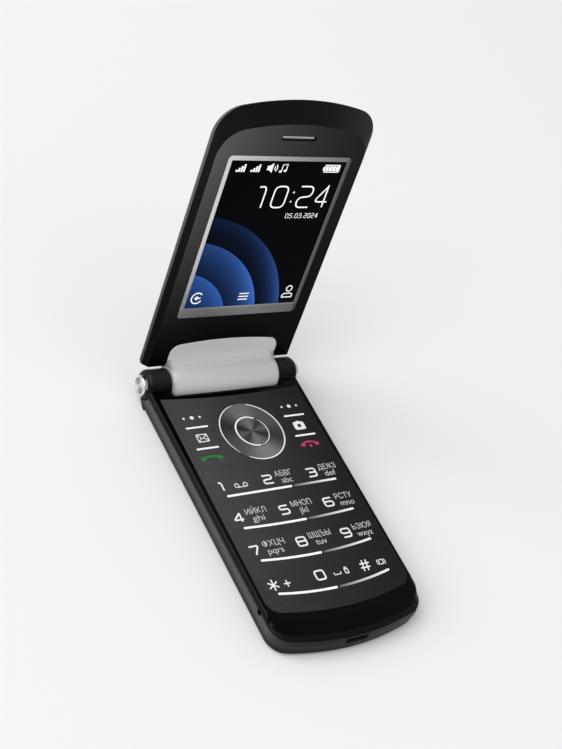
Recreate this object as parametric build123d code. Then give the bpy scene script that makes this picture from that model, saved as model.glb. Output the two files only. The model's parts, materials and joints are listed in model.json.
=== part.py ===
from build123d import *
import os
from math import sqrt

# Millimetres. X is across, +Y runs from the chin to the hinge, Z is up, the back face rests on Z = 0.
# The lid is drawn closed over the base and then turned open about the hinge line.

# Plan of both halves
HALF_WIDTH_HINGE = 25.5
SIDE_TAPER = 0.9
LID_TAPER = 0.2
HALF_WIDTH_END = HALF_WIDTH_HINGE - SIDE_TAPER
TAPER_LENGTH = 88.5
END_ARC_RADIUS = 81.0
CORNER_RADIUS = 6.0
LID_CORNER_RADIUS = 8.5

# Hinge line and opening
HINGE_Y = 42.05
HINGE_Z = 6.4
OPEN_ANGLE = 99.5

# Base, heights above the table
FACE_Z = 7.6
FRONT_SPLIT_Z = 6.3
COVER_RIM_Z = 1.1
COVER_MID_Z = 0.55
SPLIT_GAP = 0.05
BASE_END_Y = -47.0
FRONT_END_Y = -45.0
CHIN_SHOULDER_Y = -43.9
CHIN_EDGE_Y = -41.6
CHIN_TOP_Y = -40.6
RIM_SHOULDER_DROP = 0.58
RIM_SHOULDER_INSET = 0.1
RIM_EDGE_DROP = 0.1
RIM_EDGE_INSET = 0.45
RIM_TOP_INSET = 0.85
REAR_FOOT_INSET = 0.45
REAR_WAIST_INSET = 0.1
REAR_WAIST_Y = -46.95
REAR_SHOULDER_DROP = 0.7
REAR_SHOULDER_Y = -46.5
TAIL_ROUND = 4.5
BASE_WALL = 1.3
DECK_Z = 4.25
DECK_THICK = 0.45
DECK_END_Y = -37.3
CAVITY_END_Y = -44.4
CAVITY_HINGE_Y = 33.4

# Knuckles, trough and hinge parts
KNUCKLE_RADIUS = 4.4
KNUCKLE_LENGTH = 6.75
KNUCKLE_INNER_X = HALF_WIDTH_HINGE - KNUCKLE_LENGTH
KNUCKLE_EDGE = 1.45
BARREL_RADIUS = 5.95
BARREL_CREST_RADIUS = 5.6
BARREL_END_RADIUS = 4.6
BARREL_END_ROUND = 1.2
BARREL_SIDE_GAP = 0.35
BARREL_HALF = KNUCKLE_INNER_X - BARREL_SIDE_GAP
TROUGH_RADIUS = 6.2
TROUGH_LIP = 2.65
BORE_RADIUS = 2.95
MODULE_FIT = 0.05
SHAFT_RADIUS = 1.5
RUNNING_FIT = 0.05
SEAT_FIT = 0.02
MODULE_INNER_X = 4.0
BUSH_INNER_X = 6.0
SHAFT_INNER_X = 7.0
SHAFT_END_WALL = 0.5
SHAFT_OUTER_X = HALF_WIDTH_HINGE - SHAFT_END_WALL
HINGE_END_GAP = 0.3
CAP_RADIUS = 2.9
CAP_THICK = 1.3
CAP_EDGE = 0.5

# Keypad plate and keys
RIM_SIDE = 2.0
PLATE_HALF_WIDTH = HALF_WIDTH_HINGE - RIM_SIDE
PLATE_TOP_Y = 35.25
PLATE_TOP_SAG = 1.2
PLATE_END_Y = -38.65
PLATE_END_SAG = 3.0
PLATE_CORNER = 4.5
PLATE_THICK = 0.7
PLATE_FIT = 0.1
CUT_OVER = 0.1
LEDGE_WIDTH = 1.0
DIAL_Y = 20.45
NAV_RADIUS = 10.2
NAV_HOLE_RADIUS = 5.6
NAV_GAP = 0.15
NAV_RAISE = 0.1
NAV_BOTTOM_Z = 6.7
SELECT_RADIUS = 5.45
ROCKER_RADIUS = 6.0
ROCKER_HOLE_RADIUS = 3.2
ROCKER_Z = 5.95
ROCKER_THICK = 0.12
ROCKER_PIN_RADIUS = 0.12
KEY_THICK = 1.0
KEY_GAP = 0.05
KEY_FIELD_MARGIN = 1.2
KEY_HALF_FIELD = PLATE_HALF_WIDTH - KEY_FIELD_MARGIN
KEY_CORNER = 0.35
KEY_TRAVEL = 0.3
KEY_COLUMN_X = KEY_HALF_FIELD / 3
KEY_COLUMN_GAP = 0.06
ROW_TOP_Y = 9.2
ROW_BAR_Y = (0.25, -10.35, -20.75, -31.12)
ROW_BAR_SAG = (0.06, 0.6, 1.16, 1.77)
ROW_WEB = 0.5
SIDE_KEY_GAP = 1.5
SIDE_KEY_X = NAV_RADIUS + SIDE_KEY_GAP
SIDE_KEY_TOP_Y = 33.0
SIDE_LINE_Y = (24.17, 16.7)
SIDE_KEY_END_Y = 10.1
BAR_MARGIN = 3.9
BAR_HALF = KEY_HALF_FIELD - BAR_MARGIN
BAR_BREAK_X = (2.94, 1.8, 0.8, -0.18)
BAR_BREAK = 0.5
BAR_WIDTH = 0.66
BAR_CORNER = 0.28
BAR_RAISE = 0.12
LINE_INNER_MARGIN = 1.4
LINE_OUTER_MARGIN = 2.05
LINE_X = (SIDE_KEY_X + LINE_INNER_MARGIN, KEY_HALF_FIELD - LINE_OUTER_MARGIN)
LINE_WIDTH = 0.54
LINE_CORNER = 0.22
PLUNGER_RADIUS = 1.0
PLUNGER_GAP = 0.07
PLUNGER_SIDE = 5.3

# Boards and base contents
BOARD_SIDE = 4.8
BOARD_HALF = HALF_WIDTH_END - BOARD_SIDE
BOARD_THICK = 0.7
BOARD_TOP_Y = 32.6
BOARD_END_Y = -33.5
TONGUE_HALF = 8.0
TONGUE_END_Y = -43.0
FILM_THICK = 0.1
FILM_MARGIN = 0.3
DOME_RADIUS = 1.9
DOME_TOP_RADIUS = 1.2
DOME_HEIGHT = 0.28
NAV_DOME_REACH = 8.0
CAN_SIDE = 5.6
CAN_SIZE = (BOARD_HALF - CAN_SIDE, 18.0)
CAN_MIDDLE = 1.5
CAN_X = CAN_MIDDLE + CAN_SIZE[0] / 2
CAN_Y = -12.0
CAN_GAP = 0.4
BATTERY_SIDE = 2.4
BATTERY_HALF = BOARD_HALF - BATTERY_SIDE
BATTERY_Y = (-36.2, 12.5)
BATTERY_THICK = 3.1
BATTERY_LIFT = 0.12
BATTERY_EDGE = 0.8
CONTACT_PITCH = 4.0
CONTACT_SIZE = (1.2, 1.7, 2.0)
CONTACT_GAP = 0.1
READER_Y = 24.5
READER_OVER = 0.6
READER_GAP = 1.0
READER_LENGTHS = (13.6, 13.6, 14.4)
READER_HEIGHT = 1.5
READER_WALL = 0.3
READER_CLEAR = 0.4
PORT_WIDTH = 7.4
PORT_HEIGHT = 2.0
PORT_WALL = 0.3
PORT_DEPTH = 5.2
PORT_Z = 4.25
PORT_CORNER = 0.7
PORT_CLEAR = 0.1
PORT_RECESS = 0.4
PORT_TONGUE = (3.6, 0.6, 3.4)
SPEAKER_INNER_GAP = 1.9
SPEAKER_REACH = 0.664
SPEAKER_X = (PORT_WIDTH / 2 + SPEAKER_INNER_GAP, SPEAKER_REACH * HALF_WIDTH_END)
SPEAKER_Y = (-42.4, -37.6)
SPEAKER_Z = (1.6, 4.3)
SPEAKER_EDGE = 1.2
MIC_Y = -33.75
MIC_SIZE = (1.3, 3.2, 1.1)
MIC_WALL_GAP = 0.05
MIC_HOLE_RADIUS = 0.8
MOTOR_REACH = 0.631
MOTOR_INNER_GAP = 1.7
MOTOR_X = (-MOTOR_REACH * HALF_WIDTH_END, -PORT_WIDTH / 2 - MOTOR_INNER_GAP)
MOTOR_Y = -39.4
MOTOR_Z = 3.0
MOTOR_RADIUS = 1.7
MOTOR_SHAFT = 0.3
MOTOR_BORE_DEPTH = 2.0
WEIGHT_RADIUS = 1.5
WEIGHT_LENGTH = 2.4
WEIGHT_GAP = 0.25
WEIGHT_FLAT = 0.6
COVER_THICK = 0.8
COVER_HINGE_Y = 38.0
COVER_GAP = 0.1
COVER_INSET = 0.5
COVER_ROUND = 0.8
COVER_SOFT = 0.2
SCREW_UPPER_SIDE = 3.9
SCREW_UPPER = (HALF_WIDTH_HINGE - SCREW_UPPER_SIDE, 34.9)
SCREW_LOWER_SIDE = 5.2
SCREW_LOWER = (HALF_WIDTH_END - SCREW_LOWER_SIDE, -35.9)
SCREW_RADIUS = 0.75
SCREW_HEAD_RADIUS = 1.4
SCREW_HEAD = 0.8
SCREW_SEAT_Z = 3.0
SCREW_CLEAR = 0.05
SCREW_BOSS = 1.6
SCREW_TIP_GAP = 0.1

# Lid, distances from the hinge line along the lid and heights above the table with the lid closed
LID_FACE_OFFSET = 2.28
LID_FRONT_DEPTH = 1.74
LID_THICK = 5.0
LID_BOTTOM_V = 5.33
LID_FOOT_V = 4.5
LID_PANEL_V = 81.97
LID_FRONT_TIP_V = 88.45
LID_TIP_V = 87.95
LID_SHOULDER_V = 87.25
LID_ROUND_V = 86.25
LID_BACK_V = 84.55
LID_PANEL_INSET = 1.45
LID_BELLY_RISE = 0.9
LID_BELLY_INSET = 0.05
LID_SHOULDER_DROP = 1.2
LID_SHOULDER_INSET = 0.5
LID_ROUND_DROP = 0.4
LID_ROUND_INSET = 1.5
LID_BACK_INSET = 3.0
LID_SKIN = 1.1
LID_WALL = 1.3
LID_FRONT_CAVITY_V = 83.0
LID_REAR_CAVITY_V = 85.8
SCREEN_SIDE = 6.84
SCREEN_HALF = HALF_WIDTH_HINGE - SCREEN_SIDE
SCREEN_V = (24.56, 71.5)
FRAME_SIDE = 1.25
FRAME_TOP = 1.35
FRAME_BOTTOM = 3.3
FRAME_CORNER = 1.2
FRAME_FIT = 0.06
FRAME_RAISE = 0.1
WINDOW_THICK = 0.7
WINDOW_RECESS = 0.05
DISPLAY_FIT = 0.1
DISPLAY_THICK = 1.7
DISPLAY_GAP = 0.05
LID_BOARD_SIDE = 2.16
LID_BOARD_HALF = SCREEN_HALF - LID_BOARD_SIDE
LID_BOARD_V = (23.0, 60.0)
LID_BOARD_THICK = 0.6
LID_BOARD_GAP = 0.08
SLOT_V = 78.21
SLOT_HALF = 5.7
SLOT_HEIGHT = 1.6
MESH_RECESS = 0.35
MESH_THICK = 0.3
EARPIECE_SIZE = (12.0, 6.0, 2.0)
EARPIECE_CORNER = 1.5
EARPIECE_GAP = 0.05
CAMERA_V = 17.2
CAMERA_SIZE = 6.2
CAMERA_HEIGHT = 2.0
CAMERA_LENS_RADIUS = 2.2
CAMERA_LENS_SINK = 1.0
CAMERA_WINDOW_RADIUS = 3.4
CAMERA_WINDOW_THICK = 0.7
CAMERA_GAP = 0.05
MAGNET_V = 84.2
MAGNET_SIZE = (6.0, 2.4, 1.4)
FLANGE_HALF = BARREL_HALF
FLANGE_TOP_V = 12.78
FLANGE_END_V = 11.37
FLANGE_CORNER = 3.0
FLANGE_THICK = 0.7
FLANGE_RAISE = 0.1
FLANGE_FIT = 0.06
NECK_LAP = 0.05
NECK_OUTER = ((-1.0, 4.7), (NECK_LAP - LID_BOTTOM_V, 6.2))
NECK_FACE = 2.18
FLEX_RADIUS = 2.4
FLEX_X = (-3.4, 5.4)
FLEX_HALF = 3.8
FLEX_THICK = 0.15
FLEX_PATH = ((-1.5, 1.85), (-3.4, 3.75), (-13.5, 3.75))
FLEX_SLOT = 0.7
FLEX_SLOT_SIDE = 0.3

os.makedirs("parts", exist_ok=True)


def box(x0, x1, y0, y1, z0, z1):
    """Box between two corners."""
    return Pos((x0 + x1) / 2, (y0 + y1) / 2, (z0 + z1) / 2) * Box(x1 - x0, y1 - y0, z1 - z0)


def rod(radius, x0, x1, y, z):
    """Cylinder along X between x0 and x1."""
    return Pos((x0 + x1) / 2, y, z) * (Rot(0, 90, 0) * Cylinder(radius, x1 - x0))


def post(radius, x, y, z0, z1):
    """Upright cylinder between z0 and z1."""
    return Pos(x, y, (z0 + z1) / 2) * Cylinder(radius, z1 - z0)


def half_width(y, taper=SIDE_TAPER):
    """Half width of the tapered plan at y."""
    return HALF_WIDTH_HINGE - taper * (HINGE_Y - y) / TAPER_LENGTH


def plan(z, inset, y_hinge, y_end, taper=SIDE_TAPER, corner=CORNER_RADIUS):
    """Plan outline at height z: straight tapered sides, an arched end and two rounded corners."""
    wide = half_width(y_hinge, taper) - inset
    narrow = half_width(y_end, taper) - inset
    y_side = y_end + END_ARC_RADIUS - sqrt(END_ARC_RADIUS**2 - narrow**2)
    edges = [
        Line((-wide, y_hinge), (wide, y_hinge)),
        Line((wide, y_hinge), (narrow, y_side)),
        ThreePointArc((narrow, y_side), (0, y_end), (-narrow, y_side)),
        Line((-narrow, y_side), (-wide, y_hinge)),
    ]
    face = Face(Wire(edges))
    ends = face.vertices().sort_by(Axis.Y)[:2]
    return Pos(0, 0, z) * face.fillet_2d(corner, ends)


def lid_plan(z, inset, y_hinge, y_end):
    """Plan outline of the lid at height z, with its own taper and rounder corners."""
    return plan(z, inset, y_hinge, y_end, LID_TAPER, LID_CORNER_RADIUS)


def stack(sections, outline=plan):
    """Solid through plan outlines given as (z, inset, y_hinge, y_end)."""
    return loft([outline(*section) for section in sections], ruled=True)


def row_curve(row):
    """Height in plan of a row bar at x, a shallow arch."""
    return lambda x: ROW_BAR_Y[row] - ROW_BAR_SAG[row] * (1 - (x / BAR_HALF) ** 2)


def level(y):
    """Plan curve that is all but straight."""
    return lambda x: y - ROW_BAR_SAG[0] * (1 - (x / BAR_HALF) ** 2)


def band(x0, x1, lower, upper):
    """Face between two plan curves from x0 to x1."""
    mid = (x0 + x1) / 2
    edges = [
        ThreePointArc((x0, lower(x0)), (mid, lower(mid)), (x1, lower(x1))),
        Line((x1, lower(x1)), (x1, upper(x1))),
        ThreePointArc((x1, upper(x1)), (mid, upper(mid)), (x0, upper(x0))),
        Line((x0, upper(x0)), (x0, lower(x0))),
    ]
    return Face(Wire(edges))


def shifted(curve, distance):
    """Plan curve moved along Y."""
    return lambda x: curve(x) + distance


def prism(face, z0, z1):
    """Upright prism on a plan face."""
    return Pos(0, 0, z0) * extrude(face, z1 - z0, dir=(0, 0, 1))


def side_prism(points, x0, x1):
    """Prism along X on a (y, z) polygon measured from the hinge line."""
    corners = [(x0, HINGE_Y + y, HINGE_Z + z) for y, z in points]
    return extrude(Face(Wire.make_polygon(corners)), x1 - x0, dir=(1, 0, 0))


def save(name, *shapes):
    """Write one node as a STEP file."""
    solids = [solid for shape in shapes for solid in shape.solids()]
    if len(solids) == 1:
        export_step(solids[0], f"parts/{name}.step")
    else:
        export_step(Compound(children=solids), f"parts/{name}.step")


def save_lid(name, *shapes):
    """Write one node of the lid, turned from closed to open."""
    hinge_line = Axis((0, HINGE_Y, HINGE_Z), (1, 0, 0))
    save(name, *[shape.rotate(hinge_line, -OPEN_ANGLE) for shape in shapes])


# Keypad layout: every key as (name, x0, x1, lower curve, upper curve, plunger x)
columns = (
    (-KEY_HALF_FIELD, -KEY_COLUMN_X - KEY_COLUMN_GAP / 2),
    (-KEY_COLUMN_X + KEY_COLUMN_GAP / 2, KEY_COLUMN_X - KEY_COLUMN_GAP / 2),
    (KEY_COLUMN_X + KEY_COLUMN_GAP / 2, KEY_HALF_FIELD),
)
key_names = (("1", "2", "3"), ("4", "5", "6"), ("7", "8", "9"), ("star", "0", "hash"))
keys = []
for row, names in enumerate(key_names):
    lower = shifted(row_curve(row), ROW_WEB)
    upper = level(ROW_TOP_Y) if row == 0 else shifted(row_curve(row - 1), -ROW_WEB)
    for name, (x0, x1) in zip(names, columns):
        keys.append((f"key_{name}", x0, x1, lower, upper, (x0 + x1) / 2))
side_names = (("soft_left", "message", "call"), ("soft_right", "camera", "end"))
side_tops = (SIDE_KEY_TOP_Y, SIDE_LINE_Y[0] - ROW_WEB, SIDE_LINE_Y[1] - ROW_WEB)
side_ends = (SIDE_LINE_Y[0] + ROW_WEB, SIDE_LINE_Y[1] + ROW_WEB, SIDE_KEY_END_Y)
for names, sign in zip(side_names, (-1, 1)):
    x0, x1 = sorted((sign * SIDE_KEY_X, sign * KEY_HALF_FIELD))
    plunger_x = sign * (KEY_HALF_FIELD - PLUNGER_SIDE)
    for name, top, end in zip(names, side_tops, side_ends):
        keys.append((f"key_{name}", x0, x1, level(end), level(top), plunger_x))

# Heights of the board stack
board_z = DECK_Z + DECK_THICK
board_top_z = board_z + BOARD_THICK
film_top_z = board_top_z + FILM_THICK
dome_top_z = film_top_z + DOME_HEIGHT
plunger_z = dome_top_z + KEY_TRAVEL + PLUNGER_GAP
plate_z = FACE_Z - PLATE_THICK

# Keys
key_centres = []
for name, x0, x1, lower, upper, x in keys:
    face = band(x0, x1, lower, upper)
    cap = prism(face.fillet_2d(KEY_CORNER, face.vertices()), FACE_Z - KEY_THICK, FACE_Z)
    y = (lower(x) + upper(x)) / 2
    key_centres.append((x, y))
    save(name, cap + post(PLUNGER_RADIUS, x, y, plunger_z, FACE_Z - KEY_THICK))

# Navigation ring, its rocker plate and the select key
nav = post(NAV_RADIUS, 0, DIAL_Y, NAV_BOTTOM_Z, FACE_Z + NAV_RAISE)
nav -= post(NAV_HOLE_RADIUS, 0, DIAL_Y, NAV_BOTTOM_Z, FACE_Z + NAV_RAISE)
save("nav_ring", nav)
rocker = post(ROCKER_RADIUS, 0, DIAL_Y, ROCKER_Z, ROCKER_Z + ROCKER_THICK)
rocker -= post(ROCKER_HOLE_RADIUS, 0, DIAL_Y, ROCKER_Z, ROCKER_Z + ROCKER_THICK)
rocker_pin = rod(ROCKER_PIN_RADIUS, ROCKER_HOLE_RADIUS, ROCKER_RADIUS, 0, ROCKER_Z + ROCKER_THICK / 2)
for turn in (0, 90, 180, 270):
    rocker += Pos(0, DIAL_Y, 0) * (Rot(0, 0, turn) * rocker_pin)
save("nav_rocker", rocker)
select = post(SELECT_RADIUS, 0, DIAL_Y, NAV_BOTTOM_Z, FACE_Z + NAV_RAISE)
select += post(PLUNGER_RADIUS, 0, DIAL_Y, plunger_z, NAV_BOTTOM_Z)
save("key_select", select)

# Keypad plate
plate_corner_y = PLATE_END_Y + PLATE_END_SAG
end_left = (-PLATE_HALF_WIDTH, plate_corner_y)
end_right = (PLATE_HALF_WIDTH, plate_corner_y)
top_left = (-PLATE_HALF_WIDTH, PLATE_TOP_Y)
top_right = (PLATE_HALF_WIDTH, PLATE_TOP_Y)
plate_edges = [
    Line(top_left, end_left),
    ThreePointArc(end_left, (0, PLATE_END_Y), end_right),
    Line(end_right, top_right),
    ThreePointArc(top_right, (0, PLATE_TOP_Y - PLATE_TOP_SAG), top_left),
]
plate_face = Face(Wire(plate_edges))
plate_face = plate_face.fillet_2d(PLATE_CORNER, plate_face.vertices().sort_by(Axis.Y)[:2])
plate = prism(plate_face, plate_z, FACE_Z)
for name, x0, x1, lower, upper, x in keys:
    pocket = band(x0 - KEY_GAP, x1 + KEY_GAP, shifted(lower, -KEY_GAP), shifted(upper, KEY_GAP))
    pocket = pocket.fillet_2d(KEY_CORNER, pocket.vertices())
    plate -= prism(pocket, plate_z, FACE_Z)
plate -= post(NAV_RADIUS + NAV_GAP, 0, DIAL_Y, plate_z, FACE_Z)
save("keypad_plate", plate)

# Light bars on the webs between the keys
bars = []
for row, break_x in enumerate(BAR_BREAK_X):
    curve = row_curve(row)
    for x0, x1 in ((-BAR_HALF, break_x), (break_x + BAR_BREAK, BAR_HALF)):
        strip = band(x0, x1, shifted(curve, -BAR_WIDTH / 2), shifted(curve, BAR_WIDTH / 2))
        strip = strip.fillet_2d(BAR_CORNER, strip.vertices())
        bars.append(prism(strip, FACE_Z, FACE_Z + BAR_RAISE))
for y in SIDE_LINE_Y:
    for x0, x1 in ((-LINE_X[1], -LINE_X[0]), LINE_X):
        line = Pos((x0 + x1) / 2, y) * RectangleRounded(x1 - x0, LINE_WIDTH, LINE_CORNER)
        bars.append(prism(line, FACE_Z, FACE_Z + BAR_RAISE))
save("light_bars", *bars)

# Dome sheet
dome_centres = list(key_centres)
dome_centres += [(0, DIAL_Y), (NAV_DOME_REACH, DIAL_Y), (-NAV_DOME_REACH, DIAL_Y)]
dome_centres += [(0, DIAL_Y + NAV_DOME_REACH), (0, DIAL_Y - NAV_DOME_REACH)]
film_half = BOARD_HALF - FILM_MARGIN
film_y0 = BOARD_END_Y + FILM_MARGIN
film_y1 = BOARD_TOP_Y - FILM_MARGIN
film = box(-film_half, film_half, film_y0, film_y1, board_top_z, film_top_z)
for x, y in dome_centres:
    film += Pos(x, y, film_top_z + DOME_HEIGHT / 2) * Cone(DOME_RADIUS, DOME_TOP_RADIUS, DOME_HEIGHT)
save("dome_sheet", film)

# Main board with the tongue that carries the charging socket
port_mouth_y = BASE_END_Y + PORT_RECESS
port_back_y = port_mouth_y + PORT_DEPTH
board = box(-BOARD_HALF, BOARD_HALF, BOARD_END_Y, BOARD_TOP_Y, board_z, board_top_z)
board += box(-TONGUE_HALF, TONGUE_HALF, TONGUE_END_Y, BOARD_END_Y, board_z, board_top_z)
port_half = PORT_WIDTH / 2 + PORT_CLEAR
board -= box(-port_half, port_half, TONGUE_END_Y, port_back_y + PORT_CLEAR, board_z, board_top_z)
save("main_board", board)

# Charging socket
port_outer = RectangleRounded(PORT_WIDTH, PORT_HEIGHT, PORT_CORNER)
port = extrude(Pos(0, port_mouth_y, PORT_Z) * (Rot(90, 0, 0) * port_outer), PORT_DEPTH, dir=(0, 1, 0))
port_inner = RectangleRounded(
    PORT_WIDTH - 2 * PORT_WALL, PORT_HEIGHT - 2 * PORT_WALL, PORT_CORNER - PORT_WALL,
)
port_mouth = Pos(0, port_mouth_y, PORT_Z) * (Rot(90, 0, 0) * port_inner)
port -= extrude(port_mouth, PORT_DEPTH - PORT_WALL, dir=(0, 1, 0))
port += box(
    -PORT_TONGUE[0] / 2, PORT_TONGUE[0] / 2,
    port_back_y - PORT_WALL - PORT_TONGUE[2], port_back_y - PORT_WALL,
    PORT_Z - PORT_TONGUE[1] / 2, PORT_Z + PORT_TONGUE[1] / 2,
)
save("charging_socket", port)

# Shield cans and card readers, under the board through windows in the deck
cans = []
can_windows = []
for x in (-CAN_X, CAN_X):
    wide, long = CAN_SIZE
    cans.append(box(x - wide / 2, x + wide / 2, CAN_Y - long / 2, CAN_Y + long / 2, DECK_Z, board_z))
    wide, long = wide + 2 * CAN_GAP, long + 2 * CAN_GAP
    can_windows.append(box(x - wide / 2, x + wide / 2, CAN_Y - long / 2, CAN_Y + long / 2, DECK_Z, board_z))
save("shield_cans", *cans)
readers = []
reader_row = BOARD_HALF + READER_OVER
reader_half = (reader_row - READER_GAP) / len(READER_LENGTHS)
reader_z = board_z - READER_HEIGHT
for place, long in enumerate(READER_LENGTHS):
    x = -reader_row + reader_half + place * (2 * reader_half + READER_GAP)
    y0 = READER_Y - long / 2
    y1 = READER_Y + long / 2
    reader = box(x - reader_half, x + reader_half, y0, y1, reader_z, board_z)
    slot_half = reader_half - READER_WALL
    slot_z = (reader_z + READER_WALL, board_z - READER_WALL)
    readers.append(reader - box(x - slot_half, x + slot_half, y0, y1 - READER_WALL, *slot_z))
save("card_readers", *readers)
window_half = reader_row + READER_CLEAR
window_long = max(READER_LENGTHS) / 2 + READER_CLEAR
window_y = (READER_Y - window_long, READER_Y + window_long)
reader_window = box(-window_half, window_half, *window_y, DECK_Z, board_z)

# Battery and its contacts
battery_z = COVER_THICK + BATTERY_LIFT
battery = box(-BATTERY_HALF, BATTERY_HALF, *BATTERY_Y, battery_z, battery_z + BATTERY_THICK)
battery = fillet(battery.edges().filter_by(Axis.Z), BATTERY_EDGE)
save("battery", battery)
contact_y = BATTERY_Y[1] + CONTACT_GAP
contacts = []
for x in (-CONTACT_PITCH, 0, CONTACT_PITCH):
    wide, long, tall = CONTACT_SIZE
    contacts.append(box(x - wide / 2, x + wide / 2, contact_y, contact_y + long, DECK_Z - tall, DECK_Z))
save("battery_contacts", *contacts)

# Loudspeaker, microphone and vibration motor
speaker = box(*SPEAKER_X, *SPEAKER_Y, *SPEAKER_Z)
save("loudspeaker", fillet(speaker.edges().filter_by(Axis.Z), SPEAKER_EDGE))
mic_x = -(half_width(MIC_Y) - BASE_WALL) + MIC_WALL_GAP
mic_half = MIC_SIZE[1] / 2
mic = box(mic_x, mic_x + MIC_SIZE[0], MIC_Y - mic_half, MIC_Y + mic_half, board_z, board_z + MIC_SIZE[2])
save("microphone", mic)
motor = rod(MOTOR_RADIUS, *MOTOR_X, MOTOR_Y, MOTOR_Z)
shaft_hole = MOTOR_SHAFT + RUNNING_FIT
motor -= rod(shaft_hole, MOTOR_X[0], MOTOR_X[0] + MOTOR_BORE_DEPTH + RUNNING_FIT, MOTOR_Y, MOTOR_Z)
motor_cradle = box(*MOTOR_X, MOTOR_Y - MOTOR_RADIUS, MOTOR_Y + MOTOR_RADIUS, MOTOR_Z, board_z)
motor_cradle -= rod(shaft_hole, *MOTOR_X, MOTOR_Y, MOTOR_Z)
save("vibration_motor", motor + motor_cradle)
weight_x = MOTOR_X[0] - WEIGHT_GAP
weight = rod(WEIGHT_RADIUS, weight_x - WEIGHT_LENGTH, weight_x, MOTOR_Y, MOTOR_Z)
weight -= box(
    weight_x - WEIGHT_LENGTH, weight_x, MOTOR_Y - WEIGHT_RADIUS, MOTOR_Y + WEIGHT_RADIUS,
    MOTOR_Z + WEIGHT_FLAT, MOTOR_Z + WEIGHT_RADIUS,
)
weight += rod(MOTOR_SHAFT, weight_x - WEIGHT_LENGTH, MOTOR_X[0] + MOTOR_BORE_DEPTH, MOTOR_Y, MOTOR_Z)
save("vibration_weight", weight)

# Battery cover
cover = stack((
    (0, COVER_INSET + COVER_ROUND, COVER_HINGE_Y, BASE_END_Y + COVER_ROUND),
    (COVER_MID_Z, COVER_INSET + COVER_SOFT, COVER_HINGE_Y, BASE_END_Y + COVER_SOFT),
    (COVER_RIM_Z, COVER_INSET, COVER_HINGE_Y, BASE_END_Y),
))
cover -= prism(plan(0, COVER_INSET + BASE_WALL, COVER_HINGE_Y, CAVITY_END_Y), COVER_THICK, COVER_RIM_Z)
save("battery_cover", cover)

# Screws
screws = []
lower_seat_z = DECK_Z
screw_tip_z = plate_z - SCREW_TIP_GAP
screw_spots = []
for sign in (-1, 1):
    screw_spots.append((sign * SCREW_UPPER[0], SCREW_UPPER[1], SCREW_SEAT_Z))
    screw_spots.append((sign * SCREW_LOWER[0], SCREW_LOWER[1], lower_seat_z))
for x, y, seat_z in screw_spots:
    head = post(SCREW_HEAD_RADIUS, x, y, seat_z - SCREW_HEAD, seat_z)
    screws.append(head + post(SCREW_RADIUS, x, y, seat_z, screw_tip_z))
save("base_screws", *screws)

# Front housing with the knuckles
front = stack((
    (FRONT_SPLIT_Z, 0, HINGE_Y, FRONT_END_Y),
    (FACE_Z - RIM_SHOULDER_DROP, RIM_SHOULDER_INSET, HINGE_Y, CHIN_SHOULDER_Y),
    (FACE_Z - RIM_EDGE_DROP, RIM_EDGE_INSET, HINGE_Y, CHIN_EDGE_Y),
    (FACE_Z, RIM_TOP_INSET, HINGE_Y, CHIN_TOP_Y),
))
front -= prism(offset(plate_face, PLATE_FIT), plate_z, FACE_Z + CUT_OVER)
front -= prism(offset(plate_face, -LEDGE_WIDTH), FRONT_SPLIT_Z, plate_z)
for x, y, seat_z in screw_spots:
    front += post(SCREW_BOSS, x, y, FRONT_SPLIT_Z, plate_z)
    front -= post(SCREW_RADIUS + SCREW_CLEAR, x, y, FRONT_SPLIT_Z, plate_z - SCREW_CLEAR)
knuckle_outer_x = half_width(HINGE_Y)
for sign in (-1, 1):
    x0, x1 = sorted((sign * KNUCKLE_INNER_X, sign * knuckle_outer_x))
    knuckle = rod(KNUCKLE_RADIUS, x0, x1, HINGE_Y, HINGE_Z)
    outer = knuckle.edges().filter_by(GeomType.CIRCLE).sort_by(Axis.X)[0 if sign < 0 else -1]
    front += fillet(outer, KNUCKLE_EDGE)
    x0, x1 = sorted((sign * KNUCKLE_INNER_X, sign * SHAFT_OUTER_X))
    front -= rod(SHAFT_RADIUS + SEAT_FIT, x0, x1, HINGE_Y, HINGE_Z)
trough = rod(TROUGH_RADIUS, -KNUCKLE_INNER_X, KNUCKLE_INNER_X, HINGE_Y, HINGE_Z)
trough_y0 = HINGE_Y - TROUGH_LIP
trough_y1 = HINGE_Y + TROUGH_RADIUS
trough_top_z = FACE_Z + KNUCKLE_RADIUS
trough_back = box(-KNUCKLE_INNER_X, KNUCKLE_INNER_X, trough_y0, trough_y1, FRONT_SPLIT_Z, trough_top_z)
front -= trough
front -= trough_back
save("base_front_housing", front)

# Rear housing
rear = stack((
    (COVER_RIM_Z + SPLIT_GAP, REAR_FOOT_INSET, HINGE_Y, BASE_END_Y),
    (DECK_Z, REAR_WAIST_INSET, HINGE_Y, REAR_WAIST_Y),
    (FRONT_SPLIT_Z - REAR_SHOULDER_DROP, 0, HINGE_Y, REAR_SHOULDER_Y),
    (FRONT_SPLIT_Z, 0, HINGE_Y, FRONT_END_Y),
))
tail_y = COVER_HINGE_Y + COVER_GAP
tail_half = half_width(tail_y) - COVER_INSET
rear += box(-tail_half, tail_half, tail_y, HINGE_Y, 0, COVER_RIM_Z + SPLIT_GAP)
tail_corner = box(-HALF_WIDTH_HINGE, HALF_WIDTH_HINGE, HINGE_Y - TAIL_ROUND, HINGE_Y, 0, TAIL_ROUND)
rear -= tail_corner - rod(TAIL_ROUND, -HALF_WIDTH_HINGE, HALF_WIDTH_HINGE, HINGE_Y - TAIL_ROUND, TAIL_ROUND)
cavity = prism(plan(0, BASE_WALL, CAVITY_HINGE_Y, CAVITY_END_Y), 0, FRONT_SPLIT_Z)
deck = box(-HALF_WIDTH_HINGE, HALF_WIDTH_HINGE, DECK_END_Y, HINGE_Y, DECK_Z, board_z)
rear -= cavity - deck
for window in can_windows:
    rear -= window
rear -= reader_window
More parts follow.
